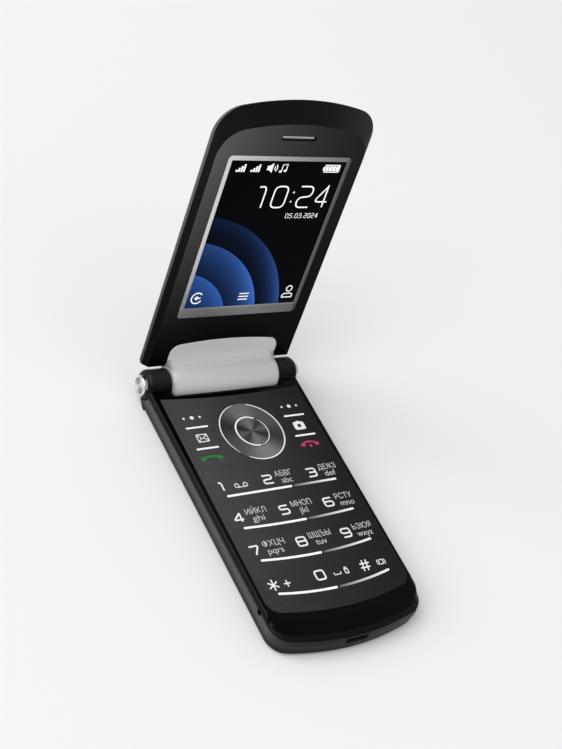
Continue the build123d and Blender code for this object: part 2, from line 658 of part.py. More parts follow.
for x, y, seat_z in screw_spots:
    if y < 0:
        rear += post(SCREW_BOSS, x, y, DECK_Z, FRONT_SPLIT_Z)
    rear -= post(SCREW_RADIUS + SCREW_CLEAR, x, y, seat_z, FRONT_SPLIT_Z)
    rear -= post(SCREW_HEAD_RADIUS + SCREW_CLEAR, x, y, 0, seat_z)
rear -= box(
    -PORT_WIDTH / 2 - PORT_CLEAR, PORT_WIDTH / 2 + PORT_CLEAR, BASE_END_Y - PORT_CLEAR, port_back_y,
    PORT_Z - PORT_HEIGHT / 2 - PORT_CLEAR, PORT_Z + PORT_HEIGHT / 2 + PORT_CLEAR,
)
mic_z = board_z + MIC_SIZE[2] / 2
rear -= rod(MIC_HOLE_RADIUS, -half_width(MIC_Y) - MIC_HOLE_RADIUS, mic_x, MIC_Y, mic_z)
for sign in (-1, 1):
    x0, x1 = sorted((sign * KNUCKLE_INNER_X, sign * knuckle_outer_x))
    rear -= rod(KNUCKLE_RADIUS + SPLIT_GAP, x0, x1, HINGE_Y, HINGE_Z)
rear -= trough
rear -= box(-KNUCKLE_INNER_X, KNUCKLE_INNER_X, trough_y0, trough_y1, 0, FACE_Z)
save("base_rear_housing", rear)

# Hinge shaft, hinge pin and end caps
save("hinge_shaft", rod(SHAFT_RADIUS, -SHAFT_OUTER_X, -SHAFT_INNER_X, HINGE_Y, HINGE_Z))
save("hinge_pin", rod(SHAFT_RADIUS, SHAFT_INNER_X, SHAFT_OUTER_X, HINGE_Y, HINGE_Z))
caps = []
for sign in (-1, 1):
    x0, x1 = sorted((sign * knuckle_outer_x, sign * (knuckle_outer_x + CAP_THICK)))
    cap = rod(CAP_RADIUS, x0, x1, HINGE_Y, HINGE_Z)
    outer = cap.edges().filter_by(GeomType.CIRCLE).sort_by(Axis.X)[0 if sign < 0 else -1]
    caps.append(fillet(outer, CAP_EDGE))
save("hinge_end_caps", *caps)

# Lid heights and places, lid closed
lid_face_z = HINGE_Z + LID_FACE_OFFSET
lid_split_z = lid_face_z + LID_FRONT_DEPTH
lid_back_z = lid_face_z + LID_THICK
lid_bottom_y = HINGE_Y - LID_BOTTOM_V
lid_inner_z = lid_back_z - LID_SKIN

# The lid reaches lower beside the barrel than over it
lid_foot_y = HINGE_Y - LID_FOOT_V
over_barrel = box(-KNUCKLE_INNER_X, KNUCKLE_INNER_X, lid_bottom_y, lid_foot_y, lid_face_z, lid_back_z)

# Hinge cover: crowned barrel, neck and flange
crest = BARREL_HALF - BARREL_END_ROUND
crown = [
    Line((-BARREL_HALF, 0), (-BARREL_HALF, BARREL_END_RADIUS)),
    Line((-BARREL_HALF, BARREL_END_RADIUS), (-crest, BARREL_CREST_RADIUS)),
    ThreePointArc((-crest, BARREL_CREST_RADIUS), (0, BARREL_RADIUS), (crest, BARREL_CREST_RADIUS)),
    Line((crest, BARREL_CREST_RADIUS), (BARREL_HALF, BARREL_END_RADIUS)),
    Line((BARREL_HALF, BARREL_END_RADIUS), (BARREL_HALF, 0)),
    Line((BARREL_HALF, 0), (-BARREL_HALF, 0)),
]
barrel = Pos(0, HINGE_Y, HINGE_Z) * revolve(Face(Wire(crown)), Axis.X)
neck_points = [(0, 0), *NECK_OUTER, (NECK_OUTER[1][0], NECK_FACE), (-BARREL_END_RADIUS, NECK_FACE)]
neck = side_prism(neck_points, -BARREL_HALF, BARREL_HALF)
flange_y = HINGE_Y - FLANGE_TOP_V
flange_end_y = HINGE_Y - FLANGE_END_V
flange_edges = [
    Line((-FLANGE_HALF, lid_bottom_y), (-FLANGE_HALF, flange_end_y)),
    ThreePointArc((-FLANGE_HALF, flange_end_y), (0, flange_y), (FLANGE_HALF, flange_end_y)),
    Line((FLANGE_HALF, flange_end_y), (FLANGE_HALF, lid_bottom_y)),
    Line((FLANGE_HALF, lid_bottom_y), (-FLANGE_HALF, lid_bottom_y)),
]
flange_face = Face(Wire(flange_edges))
flange_face = flange_face.fillet_2d(FLANGE_CORNER, flange_face.vertices().sort_by(Axis.Y)[:2])
flange = prism(flange_face, lid_face_z - FLANGE_RAISE, lid_face_z + FLANGE_THICK)
flange += box(
    -BARREL_HALF, BARREL_HALF, lid_bottom_y, lid_bottom_y - NECK_OUTER[1][0] - BARREL_END_RADIUS,
    lid_face_z - FLANGE_RAISE, lid_face_z + FLANGE_THICK,
)
hinge_cover = barrel + neck + flange
hinge_cover -= rod(BORE_RADIUS, -BARREL_HALF, BARREL_HALF, HINGE_Y, HINGE_Z)
flex_slot = [(y, z - FLEX_SLOT / 2) for y, z in FLEX_PATH]
flex_slot += [(y, z + FLEX_SLOT / 2) for y, z in FLEX_PATH[::-1]]
flex_half = FLEX_HALF + FLEX_SLOT_SIDE
flex_way = side_prism(flex_slot, -flex_half, flex_half)
hinge_cover -= flex_way
save_lid("hinge_cover", hinge_cover)

# Hinge cam module, bush and flex cable in the barrel
module = rod(BORE_RADIUS - MODULE_FIT, -BARREL_HALF, -MODULE_INNER_X, HINGE_Y, HINGE_Z)
module -= rod(SHAFT_RADIUS + RUNNING_FIT, -BARREL_HALF, -SHAFT_INNER_X + HINGE_END_GAP, HINGE_Y, HINGE_Z)
save_lid("hinge_cam_module", module)
bush = rod(BORE_RADIUS - MODULE_FIT, BUSH_INNER_X, BARREL_HALF, HINGE_Y, HINGE_Z)
bush -= rod(SHAFT_RADIUS + RUNNING_FIT, BUSH_INNER_X, BARREL_HALF, HINGE_Y, HINGE_Z)
save_lid("hinge_bush", bush)
roll = rod(FLEX_RADIUS, *FLEX_X, HINGE_Y, HINGE_Z)
roll -= rod(FLEX_RADIUS - FLEX_THICK, *FLEX_X, HINGE_Y, HINGE_Z)
tail_points = [(y, z - FLEX_THICK / 2) for y, z in FLEX_PATH]
tail_points += [(y, z + FLEX_THICK / 2) for y, z in FLEX_PATH[::-1]]
save_lid("flex_cable", roll + side_prism(tail_points, FLEX_X[0], FLEX_HALF))

# Lid front housing
lid_front = stack((
    (lid_face_z, LID_PANEL_INSET, lid_foot_y, HINGE_Y - LID_PANEL_V),
    (lid_split_z, 0, lid_foot_y, HINGE_Y - LID_FRONT_TIP_V),
), lid_plan)
lid_front -= over_barrel
cavity_y = lid_bottom_y - LID_WALL
lid_cavity = lid_plan(0, LID_WALL + LID_PANEL_INSET, cavity_y, HINGE_Y - LID_FRONT_CAVITY_V)
lid_front -= prism(lid_cavity, lid_face_z + LID_SKIN, lid_split_z)
frame_half = SCREEN_HALF + FRAME_SIDE
frame_y0 = HINGE_Y - SCREEN_V[1] - FRAME_TOP
frame_y1 = HINGE_Y - SCREEN_V[0] + FRAME_BOTTOM
frame_mid = (frame_y0 + frame_y1) / 2
frame_long = frame_y1 - frame_y0
frame_plan = Pos(0, frame_mid) * RectangleRounded(2 * frame_half, frame_long, FRAME_CORNER)
frame_hole = Pos(0, frame_mid) * RectangleRounded(
    2 * (frame_half + FRAME_FIT), frame_long + 2 * FRAME_FIT, FRAME_CORNER + FRAME_FIT,
)
lid_front -= prism(frame_hole, lid_face_z, lid_split_z)
flange_seat = offset(flange_face, FLANGE_FIT)
lid_front -= prism(flange_seat, lid_face_z, lid_face_z + FLANGE_THICK + FLANGE_FIT)
slot_y = HINGE_Y - SLOT_V
slot_plan = Pos(0, slot_y) * SlotOverall(2 * SLOT_HALF, SLOT_HEIGHT)
lid_front -= prism(slot_plan, lid_face_z, lid_split_z)
lid_front -= flex_way
save_lid("lid_front_housing", lid_front)

# Screen frame, window and display
frame = prism(frame_plan, lid_face_z - FRAME_RAISE, lid_face_z + WINDOW_THICK + WINDOW_RECESS)
screen_mid = HINGE_Y - (SCREEN_V[0] + SCREEN_V[1]) / 2
screen_long = SCREEN_V[1] - SCREEN_V[0]
screen_hole = Pos(0, screen_mid) * Rectangle(2 * SCREEN_HALF, screen_long)
frame -= prism(screen_hole, lid_face_z - FRAME_RAISE, lid_split_z)
save_lid("screen_frame", frame)
window = Pos(0, screen_mid) * Rectangle(2 * (SCREEN_HALF - SEAT_FIT), screen_long - 2 * SEAT_FIT)
window_z = lid_face_z + WINDOW_RECESS
save_lid("screen_window", prism(window, window_z, window_z + WINDOW_THICK))
display_z = window_z + WINDOW_THICK + DISPLAY_GAP
display_wide = 2 * (frame_half - DISPLAY_FIT)
display_long = frame_long - 2 * DISPLAY_FIT
display_plan = Pos(0, frame_mid) * RectangleRounded(display_wide, display_long, FRAME_CORNER)
save_lid("display_module", prism(display_plan, display_z, display_z + DISPLAY_THICK))
lid_board_z = display_z + DISPLAY_THICK + LID_BOARD_GAP
save_lid("lid_board", box(
    -LID_BOARD_HALF, LID_BOARD_HALF, HINGE_Y - LID_BOARD_V[1], HINGE_Y - LID_BOARD_V[0],
    lid_board_z, lid_board_z + LID_BOARD_THICK,
))

# Earpiece behind its mesh
mesh_z = lid_face_z + MESH_RECESS
mesh_plan = Pos(0, slot_y) * SlotOverall(2 * (SLOT_HALF - SEAT_FIT), SLOT_HEIGHT - 2 * SEAT_FIT)
save_lid("earpiece_mesh", prism(mesh_plan, mesh_z, mesh_z + MESH_THICK))
earpiece_z = lid_face_z + LID_SKIN + EARPIECE_GAP
earpiece = Pos(0, slot_y) * RectangleRounded(EARPIECE_SIZE[0], EARPIECE_SIZE[1], EARPIECE_CORNER)
save_lid("earpiece", prism(earpiece, earpiece_z, earpiece_z + EARPIECE_SIZE[2]))

# Lid rear housing, camera and magnet
lid_rear = stack((
    (lid_split_z + SPLIT_GAP, 0, lid_foot_y, HINGE_Y - LID_FRONT_TIP_V),
    (lid_split_z + LID_BELLY_RISE, LID_BELLY_INSET, lid_foot_y, HINGE_Y - LID_TIP_V),
    (lid_back_z - LID_SHOULDER_DROP, LID_SHOULDER_INSET, lid_foot_y, HINGE_Y - LID_SHOULDER_V),
    (lid_back_z - LID_ROUND_DROP, LID_ROUND_INSET, lid_foot_y, HINGE_Y - LID_ROUND_V),
    (lid_back_z, LID_BACK_INSET, lid_foot_y, HINGE_Y - LID_BACK_V),
), lid_plan)
lid_rear -= over_barrel
rear_cavity = lid_plan(0, LID_WALL, cavity_y, HINGE_Y - LID_REAR_CAVITY_V)
lid_rear -= prism(rear_cavity, lid_split_z, lid_inner_z)
camera_y = HINGE_Y - CAMERA_V
camera_window_z = lid_back_z - CAMERA_WINDOW_THICK
lid_rear -= post(CAMERA_WINDOW_RADIUS + CAMERA_GAP, 0, camera_y, lid_inner_z, lid_back_z)
save_lid("lid_rear_housing", lid_rear)
save_lid("camera_window", post(CAMERA_WINDOW_RADIUS, 0, camera_y, camera_window_z, lid_back_z - CAMERA_GAP))
camera_top = camera_window_z - CAMERA_GAP
camera = box(
    -CAMERA_SIZE / 2, CAMERA_SIZE / 2, camera_y - CAMERA_SIZE / 2, camera_y + CAMERA_SIZE / 2,
    camera_top - CAMERA_HEIGHT, lid_inner_z - CAMERA_GAP,
)
camera += post(CAMERA_LENS_RADIUS, 0, camera_y, lid_inner_z - CAMERA_LENS_SINK, camera_top)
save_lid("camera_module", camera)
magnet_y = HINGE_Y - MAGNET_V
magnet_top = lid_inner_z - SEAT_FIT
save_lid("lid_magnet", box(
    -MAGNET_SIZE[0] / 2, MAGNET_SIZE[0] / 2, magnet_y - MAGNET_SIZE[1] / 2, magnet_y + MAGNET_SIZE[1] / 2,
    magnet_top - MAGNET_SIZE[2], magnet_top,
))
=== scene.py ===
# %% [markdown]
# # An open clamshell phone
# The CAD model holds every housing, key and hinge part at its real size and place. This script leaves
# those solids where they are and dresses them: finishes for each material, the print on the keys, the
# picture on the screen, and one piece, the hinge cover, whose surface has to be smoother than the CAD
# mesh. Blender's lengths are metres; print and places on the lid are written in millimetres.

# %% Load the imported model
import json
from math import cos, pi, radians, sin

import bpy
import numpy as np
from mathutils import Matrix, Vector


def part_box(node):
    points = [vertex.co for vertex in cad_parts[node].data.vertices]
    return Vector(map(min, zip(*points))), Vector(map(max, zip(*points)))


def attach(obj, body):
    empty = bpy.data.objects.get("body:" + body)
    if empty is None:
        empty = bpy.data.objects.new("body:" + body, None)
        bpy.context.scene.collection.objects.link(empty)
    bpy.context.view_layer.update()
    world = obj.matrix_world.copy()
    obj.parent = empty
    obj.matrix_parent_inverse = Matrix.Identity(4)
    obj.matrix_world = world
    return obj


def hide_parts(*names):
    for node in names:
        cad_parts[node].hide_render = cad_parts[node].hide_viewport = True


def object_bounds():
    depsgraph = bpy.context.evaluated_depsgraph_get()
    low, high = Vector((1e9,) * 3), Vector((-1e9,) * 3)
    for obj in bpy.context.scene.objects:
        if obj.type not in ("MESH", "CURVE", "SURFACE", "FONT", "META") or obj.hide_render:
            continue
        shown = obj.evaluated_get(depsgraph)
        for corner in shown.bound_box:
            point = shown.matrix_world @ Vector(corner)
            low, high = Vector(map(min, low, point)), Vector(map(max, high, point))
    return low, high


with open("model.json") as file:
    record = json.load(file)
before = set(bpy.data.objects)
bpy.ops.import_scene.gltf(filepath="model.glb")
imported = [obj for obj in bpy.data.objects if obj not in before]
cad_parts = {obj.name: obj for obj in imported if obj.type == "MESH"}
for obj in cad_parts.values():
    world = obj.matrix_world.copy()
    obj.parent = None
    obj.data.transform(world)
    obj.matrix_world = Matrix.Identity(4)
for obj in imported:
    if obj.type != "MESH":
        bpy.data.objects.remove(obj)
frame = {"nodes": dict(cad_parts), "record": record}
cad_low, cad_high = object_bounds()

MM = 0.001
nodes = frame["nodes"]
slot_of = {part["node"]: part["material_slot"] for part in frame["record"]["subparts"]}
print("nodes", len(nodes), "box", [round(v / MM, 2) for v in cad_high - cad_low])

# %% [markdown]
# ## The camera
# The phone lies with its keypad half flat on the table and is seen from the front left and well above.
# The eye point, the turn and the focal length were solved from the keypad and the screen, so they are set
# as numbers. A turn is given as one vector: its direction is the axis and its length the angle.

# %% Camera
IMAGE_HIGH = 749
FOCAL_PIXELS = 1267.5
SENSOR_WIDTH = 36.0
EYE = Vector((-198.75, -154.32, 251.8)) * MM
VIEW_TURN = Vector((2.34, -0.38, 0.702))

lens = bpy.data.cameras.new("camera")
lens.sensor_width = SENSOR_WIDTH
lens.lens = FOCAL_PIXELS * SENSOR_WIDTH / IMAGE_HIGH
lens.clip_start, lens.clip_end = 0.01, 20
camera = bpy.data.objects.new("camera", lens)
bpy.context.scene.collection.objects.link(camera)
world_to_view = Matrix.Rotation(VIEW_TURN.length, 3, VIEW_TURN.normalized())
axes = world_to_view.transposed() @ Matrix.Diagonal((1, -1, -1))
camera.matrix_world = Matrix.Translation(EYE) @ axes.to_4x4()
bpy.context.scene.camera = camera
bpy.context.scene.view_settings.view_transform = "Standard"
print("lens", round(lens.lens, 2), "mm")

# %% [markdown]
# ## Shader arithmetic
# A finish is mostly arithmetic on the place of a point: how far it is from the dial's middle, how far
# along a bar. Wiring that by hand takes many Math nodes, so a small class wraps a socket and lets
# Python's own operators add the nodes. Everything else comes from one method that makes a node of any
# kind.

# %% Shader helpers
class Value:
    """A socket that takes part in sums: every operator adds one Math node."""

    def __init__(self, paint, socket):
        self.paint, self.socket = paint, socket

    def math(self, operation, *terms):
        return self.paint.node("ShaderNodeMath", {"operation": operation}, dict(enumerate(terms)))

    def __add__(self, other):
        return self.math("ADD", self, other)

    def __sub__(self, other):
        return self.math("SUBTRACT", self, other)

    def __rsub__(self, other):
        return self.math("SUBTRACT", other, self)

    def __mul__(self, other):
        return self.math("MULTIPLY", self, other)

    def __truediv__(self, other):
        return self.math("DIVIDE", self, other)

    def __pow__(self, other):
        return self.math("POWER", self, other)

    def __rpow__(self, other):
        return self.math("POWER", other, self)

    def __neg__(self):
        return self.math("MULTIPLY", self, -1.0)

    def __abs__(self):
        return self.math("ABSOLUTE", self)

    def __lt__(self, other):
        return self.math("LESS_THAN", self, other)

    def __gt__(self, other):
        return self.math("GREATER_THAN", self, other)

    def sine(self):
        return self.math("SINE", self)

    def angle(self, across):
        """The angle whose rise is this value and whose run is across."""
        return self.math("ARCTAN2", self, across)

    def share(self):
        """The value held between 0 and 1."""
        return self.math("MINIMUM", self.math("MAXIMUM", self, 0.0), 1.0)

    __radd__ = __add__
    __rmul__ = __mul__


class Paint:
    """A material around one Principled shader. Constants go straight onto its sockets."""

    def __init__(self, name, **constants):
        self.material = bpy.data.materials.new(name)
        self.material.use_nodes = True
        self.tree = self.material.node_tree
        self.shader = self.tree.nodes["Principled BSDF"]
        self.surface(**constants)

    def put(self, socket, value):
        if isinstance(value, Value):
            self.tree.links.new(value.socket, socket)
        else:
            socket.default_value = value

    def node(self, kind, settings=None, sockets=None, out=0):
        made = self.tree.nodes.new(kind)
        for key, setting in (settings or {}).items():
            setattr(made, key, setting)
        for key, value in (sockets or {}).items():
            self.put(made.inputs[key], value)
        return Value(self, made.outputs[out])

    def surface(self, **sockets):
        for key, value in sockets.items():
            self.put(self.shader.inputs[key.replace("_", " ")], value)
        return self

    def place(self):
        """Object coordinates: the same metres as the CAD frame."""
        return self.node("ShaderNodeTexCoord", out="Object")

    def parts(self, vector):
        """The x, y and z of a vector."""
        split = self.node("ShaderNodeSeparateXYZ", sockets={0: vector})
        return [Value(self, split.socket.node.outputs[k]) for k in range(3)]

    def noise(self, scale, stretch=(1, 1, 1), detail=3.0):
        """Noise with scale cells a metre, drawn out along the axes with a small stretch."""
        spread = self.node("ShaderNodeMapping", sockets={"Vector": self.place(), "Scale": stretch})
        return self.node("ShaderNodeTexNoise", sockets={"Vector": spread, "Scale": scale, "Detail": detail})

    def mix(self, factor, first, second):
        """Colour between first and second."""
        return self.node(
            "ShaderNodeMix", {"data_type": "RGBA"}, {"Factor": factor, 6: first, 7: second}, out=2
        )

    def bump(self, height, distance, strength=1.0):
        return self.node(
            "ShaderNodeBump", sockets={"Height": height, "Distance": distance, "Strength": strength}
        )


DECAY = 2.718


def grey(level, blue=1.04):
    """A neutral colour with a slight cool cast."""
    return (level, level, level * blue, 1.0)


def wear(node, paint):
    """Gives a CAD node its finish."""
    nodes[node].data.materials.clear()
    nodes[node].data.materials.append(paint.material)


print("shader helpers ready")

# %% [markdown]
# ## Places on the lid
# The lid stands open at an angle, so its parts are easiest to think of in its own measures: u across, v
# up the lid from the hinge line and n out of its face. A finish reads them from the Object coordinates
# with two dot products.

# %% Lid measures
HINGE = Vector((0, 42.05, 6.4)) * MM
OPEN = radians(99.5)
LID_UP = Vector((0, -cos(OPEN), sin(OPEN)))
LID_OUT = Vector((0, -sin(OPEN), -cos(OPEN)))
LID_FACE = -2.28


def lid_place(paint):
    """Millimetres across the lid, up it and out of it, as shader values."""
    spot = paint.place()
    along = [
        paint.node(
            "ShaderNodeVectorMath", {"operation": "DOT_PRODUCT"}, {0: spot, 1: tuple(way)}, out="Value"
        )
        for way in (LID_UP, LID_OUT)
    ]
    v, n = [(value - HINGE.dot(way)) / MM for value, way in zip(along, (LID_UP, LID_OUT))]
    return paint.parts(spot)[0] / MM, v, n


print("lid leans back", round(pi / 2 - OPEN, 3))

# %% [markdown]
# ## Moulded housings
# The front housing of the keypad half is polished black plastic, the rear shells are matt grey paint with
# a fine grain, and the lid's inner panel is a satin dark grey. Polished plastic is never perfectly even,
# so its roughness drifts a little; paint gets a grain from very fine noise used as bump. Their colours also
# carry painted light: a painted highlight on the knuckles, a painted sheen on the lid's panel and painted
# shade on the grey shells.

# %% Housing finishes
KNUCKLE_FOOT_Z, KNUCKLE_HIGH = 7.9, 2.9
FACE_SKIN = 0.06
END_Y, END_FADE = -47.0, 9.0
LID_LOW_Z = 9.0
UNDER_HOUSING_Z = (5.5, 6.6)
SIDE_HOLE_Y, SIDE_HOLE_Z, SIDE_HOLE_SQUARE = -33.75, 5.25, 0.72

gloss_black = Paint("gloss_black", Specular_IOR_Level=0.09)
haze = gloss_black.noise(90)
height = gloss_black.parts(gloss_black.place())[2] / MM
# Painted highlight: the black grows lighter towards the top of the knuckles, which stand above the face.
crown = ((height - KNUCKLE_FOOT_Z) / KNUCKLE_HIGH).share()
gloss_black.surface(
    Base_Color=gloss_black.mix(crown ** 1.5, grey(0.001), grey(0.019)),
    Roughness=0.1 + haze * 0.1,
    Normal=gloss_black.bump(gloss_black.noise(900, detail=1.0), 0.00001),
)

lid_satin = Paint("lid_satin", Specular_IOR_Level=0.03)
flake = lid_satin.noise(9000, detail=1.0)
u, v, n = lid_place(lid_satin)
flat = n > LID_FACE - FACE_SKIN
# Painted sheen: the flat panel grows lighter towards its upper left, and the sloped band round its tip
# carries a painted highlight that grows towards the upper right. The flakes fleck both.
sheen = ((v - 5.0) / 70.0).share() ** 1.45 * DECAY ** ((-22.0 - u) / 22.0)
tip_band_sheen = 0.02 + ((v - 20.0) / 60.0).share() * 0.05 + ((u + 5.0) / 25.0).share() ** 3.0 * 0.2
sheen = (sheen * flat + (1 - flat) * tip_band_sheen) * (0.8 + flake * 0.4)
lid_satin.surface(
    Base_Color=lid_satin.mix(sheen.share(), grey(0.0008), grey(0.124)),
    Roughness=0.3 + lid_satin.noise(60) * 0.08,
    Normal=lid_satin.bump(flake, 0.000006),
)

grey_paint = Paint("grey_paint", Specular_IOR_Level=0.1)
grain = grey_paint.noise(3800, detail=2.0)
x, y, z = [value / MM for value in grey_paint.parts(grey_paint.place())]
# Painted shade: the shell darkens towards the base's far end, most on the left, and towards the bottom; the
# lid's back is darker low down and lighter towards its top; a band just under the front housing and the
# inside of the side hole are painted near black.
end_level = 0.04 + ((x + 20.0) / 40.0).share() * 0.56
end_shade = end_level + (1 - end_level) * ((y - END_Y) / END_FADE).share()
low_shade = 0.2 + ((z - 1.5) / 2.2).share() * 0.8
lid_shade = 1 - (z > LID_LOW_Z) * (0.5 - ((z - 15.0) / 65.0).share() * 0.75)
under_housing_shade = (z > UNDER_HOUSING_Z[0]) * (z < UNDER_HOUSING_Z[1])
from_hole = (y - SIDE_HOLE_Y) ** 2.0 + (z - SIDE_HOLE_Z) ** 2.0
hole_shade = (from_hole < SIDE_HOLE_SQUARE) * (x < 0.0)
paint_level = (0.5 + grain * 0.5) * end_shade * low_shade * lid_shade * (1 - under_housing_shade * 0.9) * (1 - hole_shade)
grey_paint.surface(
    Base_Color=grey_paint.mix(paint_level.share(), grey(0.002), grey(0.085)),
    Roughness=0.42 + grain * 0.16,
    Normal=grey_paint.bump(grain, 0.00002),
)

wear("base_front_housing", gloss_black)
wear("battery_cover", gloss_black)
wear("lid_front_housing", lid_satin)
for node in ("base_rear_housing", "lid_rear_housing"):
    wear(node, grey_paint)
print("housings dressed")

# %% [markdown]
# ## Metal: hinge cover, screen frame and end caps
# The hinge cover is satin silver paint, the screen frame a brushed bright strip, and the end caps are
# turned on a lathe, which leaves fine rings round their middle. Their colours also carry painted light:
# painted shade on the barrel, painted highlight and shade along the frame, painted reflection on the caps.

# %% Metal finishes
BARREL_TOP_V, BARREL_END_U, BARREL_END_FADE = 6.4, 16.8, 1.2
FRAME_RIGHT_U, FRAME_FOOT_V = 18.9, 24.0
CAP_RING_PITCH, CAP_FACE = 0.5 * MM, 2.4 * MM

silver = Paint("satin_silver", Metallic=0.2, Specular_IOR_Level=0.3)
glint = silver.noise(7000, detail=1.0)
u, v, n = lid_place(silver)
on_barrel = v < BARREL_TOP_V
# Painted shade: below the flange the silver is a little darker, except along the barrel's front, and darker
# still towards the barrel's two ends.
bright = 0.78 + on_barrel * (((n - 4.0) / 2.0).share() * 0.1 - 0.1) + glint * 0.06
ends = on_barrel * ((abs(u) - BARREL_END_U) / BARREL_END_FADE).share()
silver.surface(
    Base_Color=silver.mix(bright * (1 - ends * 0.5), grey(0.0, 1.0), grey(1.0, 1.0)),
    Roughness=0.36 + glint * 0.1,
    Normal=silver.bump(glint, 0.000005),
)
wear("hinge_cover", silver)

frame_metal = Paint("screen_frame_metal", Metallic=0.9)
hairline = frame_metal.noise(2600, (0.03, 1, 1), 2.0)
u, v, _ = lid_place(frame_metal)
# Painted highlight and shade: the frame is lightest at its left and fades to the right, darker still along
# its right side and at its foot.
frame_light_and_shade = DECAY ** ((-20.0 - u) / 28.0) * (1 - (u > FRAME_RIGHT_U) * 0.5) * (1 - (v < FRAME_FOOT_V) * 0.3)
frame_metal.surface(
    Base_Color=frame_metal.mix(frame_light_and_shade * (0.75 + hairline * 0.4), grey(0.012, 1.0), grey(0.82, 1.0)),
    Roughness=0.24 + hairline * 0.14,
    Normal=frame_metal.bump(hairline, 0.000006),
)
wear("screen_frame", frame_metal)

cap_chrome = Paint("turned_chrome", Metallic=1.0)
_, cap_y, cap_z = cap_chrome.parts(cap_chrome.place())
cap_along, cap_up = cap_y - HINGE.y, cap_z - HINGE.z
from_pin = (cap_along ** 2.0 + cap_up ** 2.0) ** 0.5
rings = (from_pin * (2 * pi / CAP_RING_PITCH)).sine() * 0.5 + 0.5
# Painted reflection: bright and dark sectors fan out round the pin on the cap's face.
sectors = ((cap_up.angle(cap_along) * 2.0 + 0.6).sine() * 0.5 + 0.5) * (from_pin < CAP_FACE)
cap_chrome.surface(
    Base_Color=cap_chrome.mix(sectors, grey(0.78, 1.0), grey(0.25, 1.0)),
    Roughness=0.16 + rings * 0.16,
    Normal=cap_chrome.bump(rings, 0.00002),
)
wear("hinge_end_caps", cap_chrome)
print("metal dressed")

# %% [markdown]
# ## The keypad sheet
# Keys and plate are cut from one dark sheet, brushed straight across, with a painted highlight towards
# the upper left. Brushing is noise drawn out along X: a scratch is tens of millimetres long and a few
# hundredths wide. The dial in the middle is turned, so its scratches are rings; the bright and dark sectors
# that fan out from its middle are painted reflection.

# %% Keypad finishes
DIAL = Vector((0, 20.45, 7.6)) * MM
PLATE_HALF, PLATE_FOOT_Y, PLATE_LONG = 21.0 * MM, -35.0 * MM, 67.0 * MM
LOBE_TURN = 1.5 * pi

brushed = Paint("brushed_dark", Metallic=0.75)
scratch = brushed.noise(5200, (0.012, 1, 0.2), 2.0)
shade = brushed.noise(700, (0.02, 1, 0.2), 2.0)
x, y, _ = brushed.parts(brushed.place())
# Painted highlight: the sheet grows lighter towards its upper left, under the brushing.
gleam_up = 0.38 + ((y - PLATE_FOOT_Y) / PLATE_LONG).share() * 0.95
gleam = ((PLATE_HALF - x) / (2 * PLATE_HALF)).share() ** 1.3 * gleam_up
sheet_level = (gleam * 0.8 + 0.12) * (0.45 + scratch * 0.8 + shade * 0.3)
brushed.surface(
    Base_Color=brushed.mix(sheet_level, grey(0.004), grey(0.13)),
    Roughness=0.34 + scratch * 0.16,
    Normal=brushed.bump(scratch, 0.000012),
)
for node, slot in slot_of.items():
    if slot == "brushed_dark":
        wear(node, brushed)


def turned(name, dark, bright, lobes):
    """Turned metal: fine rings, and a painted reflection, a fan of sectors whose brightness is a sum of
    sines of the angle.
    """
    paint = Paint(name, Metallic=0.8)
    x, y, _ = paint.parts(paint.place())
    across, along = x - DIAL.x, y - DIAL.y
    angle = along.angle(across)
    radius = (across ** 2.0 + along ** 2.0) ** 0.5
    # Painted reflection: bright and dark sectors round the dial's middle.
    fan = 0.5
    for count, turn, size in lobes:
        fan = fan + (angle * count + turn).sine() * size
    grooves = paint.node(
        "ShaderNodeTexNoise",
        {"noise_dimensions": "1D"},
        {"W": radius, "Scale": 5200.0, "Detail": 2.0},
    )
    paint.surface(
        Base_Color=paint.mix(fan.share(), grey(dark, 1.0), grey(bright, 1.0)),
        Roughness=0.3 + grooves * 0.16,
        Normal=paint.bump(grooves, 0.000012),
    )
    return paint


ring_metal = turned("turned_ring", 0.04, 0.36, ((2, LOBE_TURN, 0.42), (4, 0.7, 0.16)))
select_metal = turned("turned_select", 0.022, 0.31, ((2, LOBE_TURN, 0.3), (4, 1.1, 0.22), (6, 0.4, 0.12)))
wear("nav_ring", ring_metal)
wear("key_select", select_metal)
print("keypad dressed")

# %% [markdown]
# ## Light bars
# White bars underline each row of keys. Their left part is white all along. The right part comes out of
# the dark and is white only at its far end, and the place where it starts moves to the left from row to
# row.

# %% Light bars
ROW_END_X = 18.4 * MM
FIRST_BREAK = (2.94 * MM, 0.25 * MM)
BREAK_SLOPE = 0.0995
ROWS_TOP_Y = 9.2 * MM

# Painted light: the white of the bars glows a little.
bar_white = Paint("bar_white", Roughness=0.35, Emission_Strength=0.25)
x, y, _ = bar_white.parts(bar_white.place())
start = (y - FIRST_BREAK[1]) * BREAK_SLOPE + FIRST_BREAK[0]
along_fade = (x - start) / (ROW_END_X - start)
in_fade = (along_fade > 0.0) * (y < ROWS_TOP_Y)
lit = 1 - in_fade * (1 - along_fade.share() ** 0.9)
bar_colour = bar_white.mix(lit, grey(0.03), grey(0.86, 1.0))
bar_white.surface(Base_Color=bar_colour, Emission_Color=bar_colour)
wear("light_bars", bar_white)
print("bars dressed")

# %% [markdown]
# ## Inner parts
# Boards, battery and cans only show when the back cover slides off. They still get a finish each: the
# record's own colour, mottled by noise, with a roughness that suits plastic or metal.

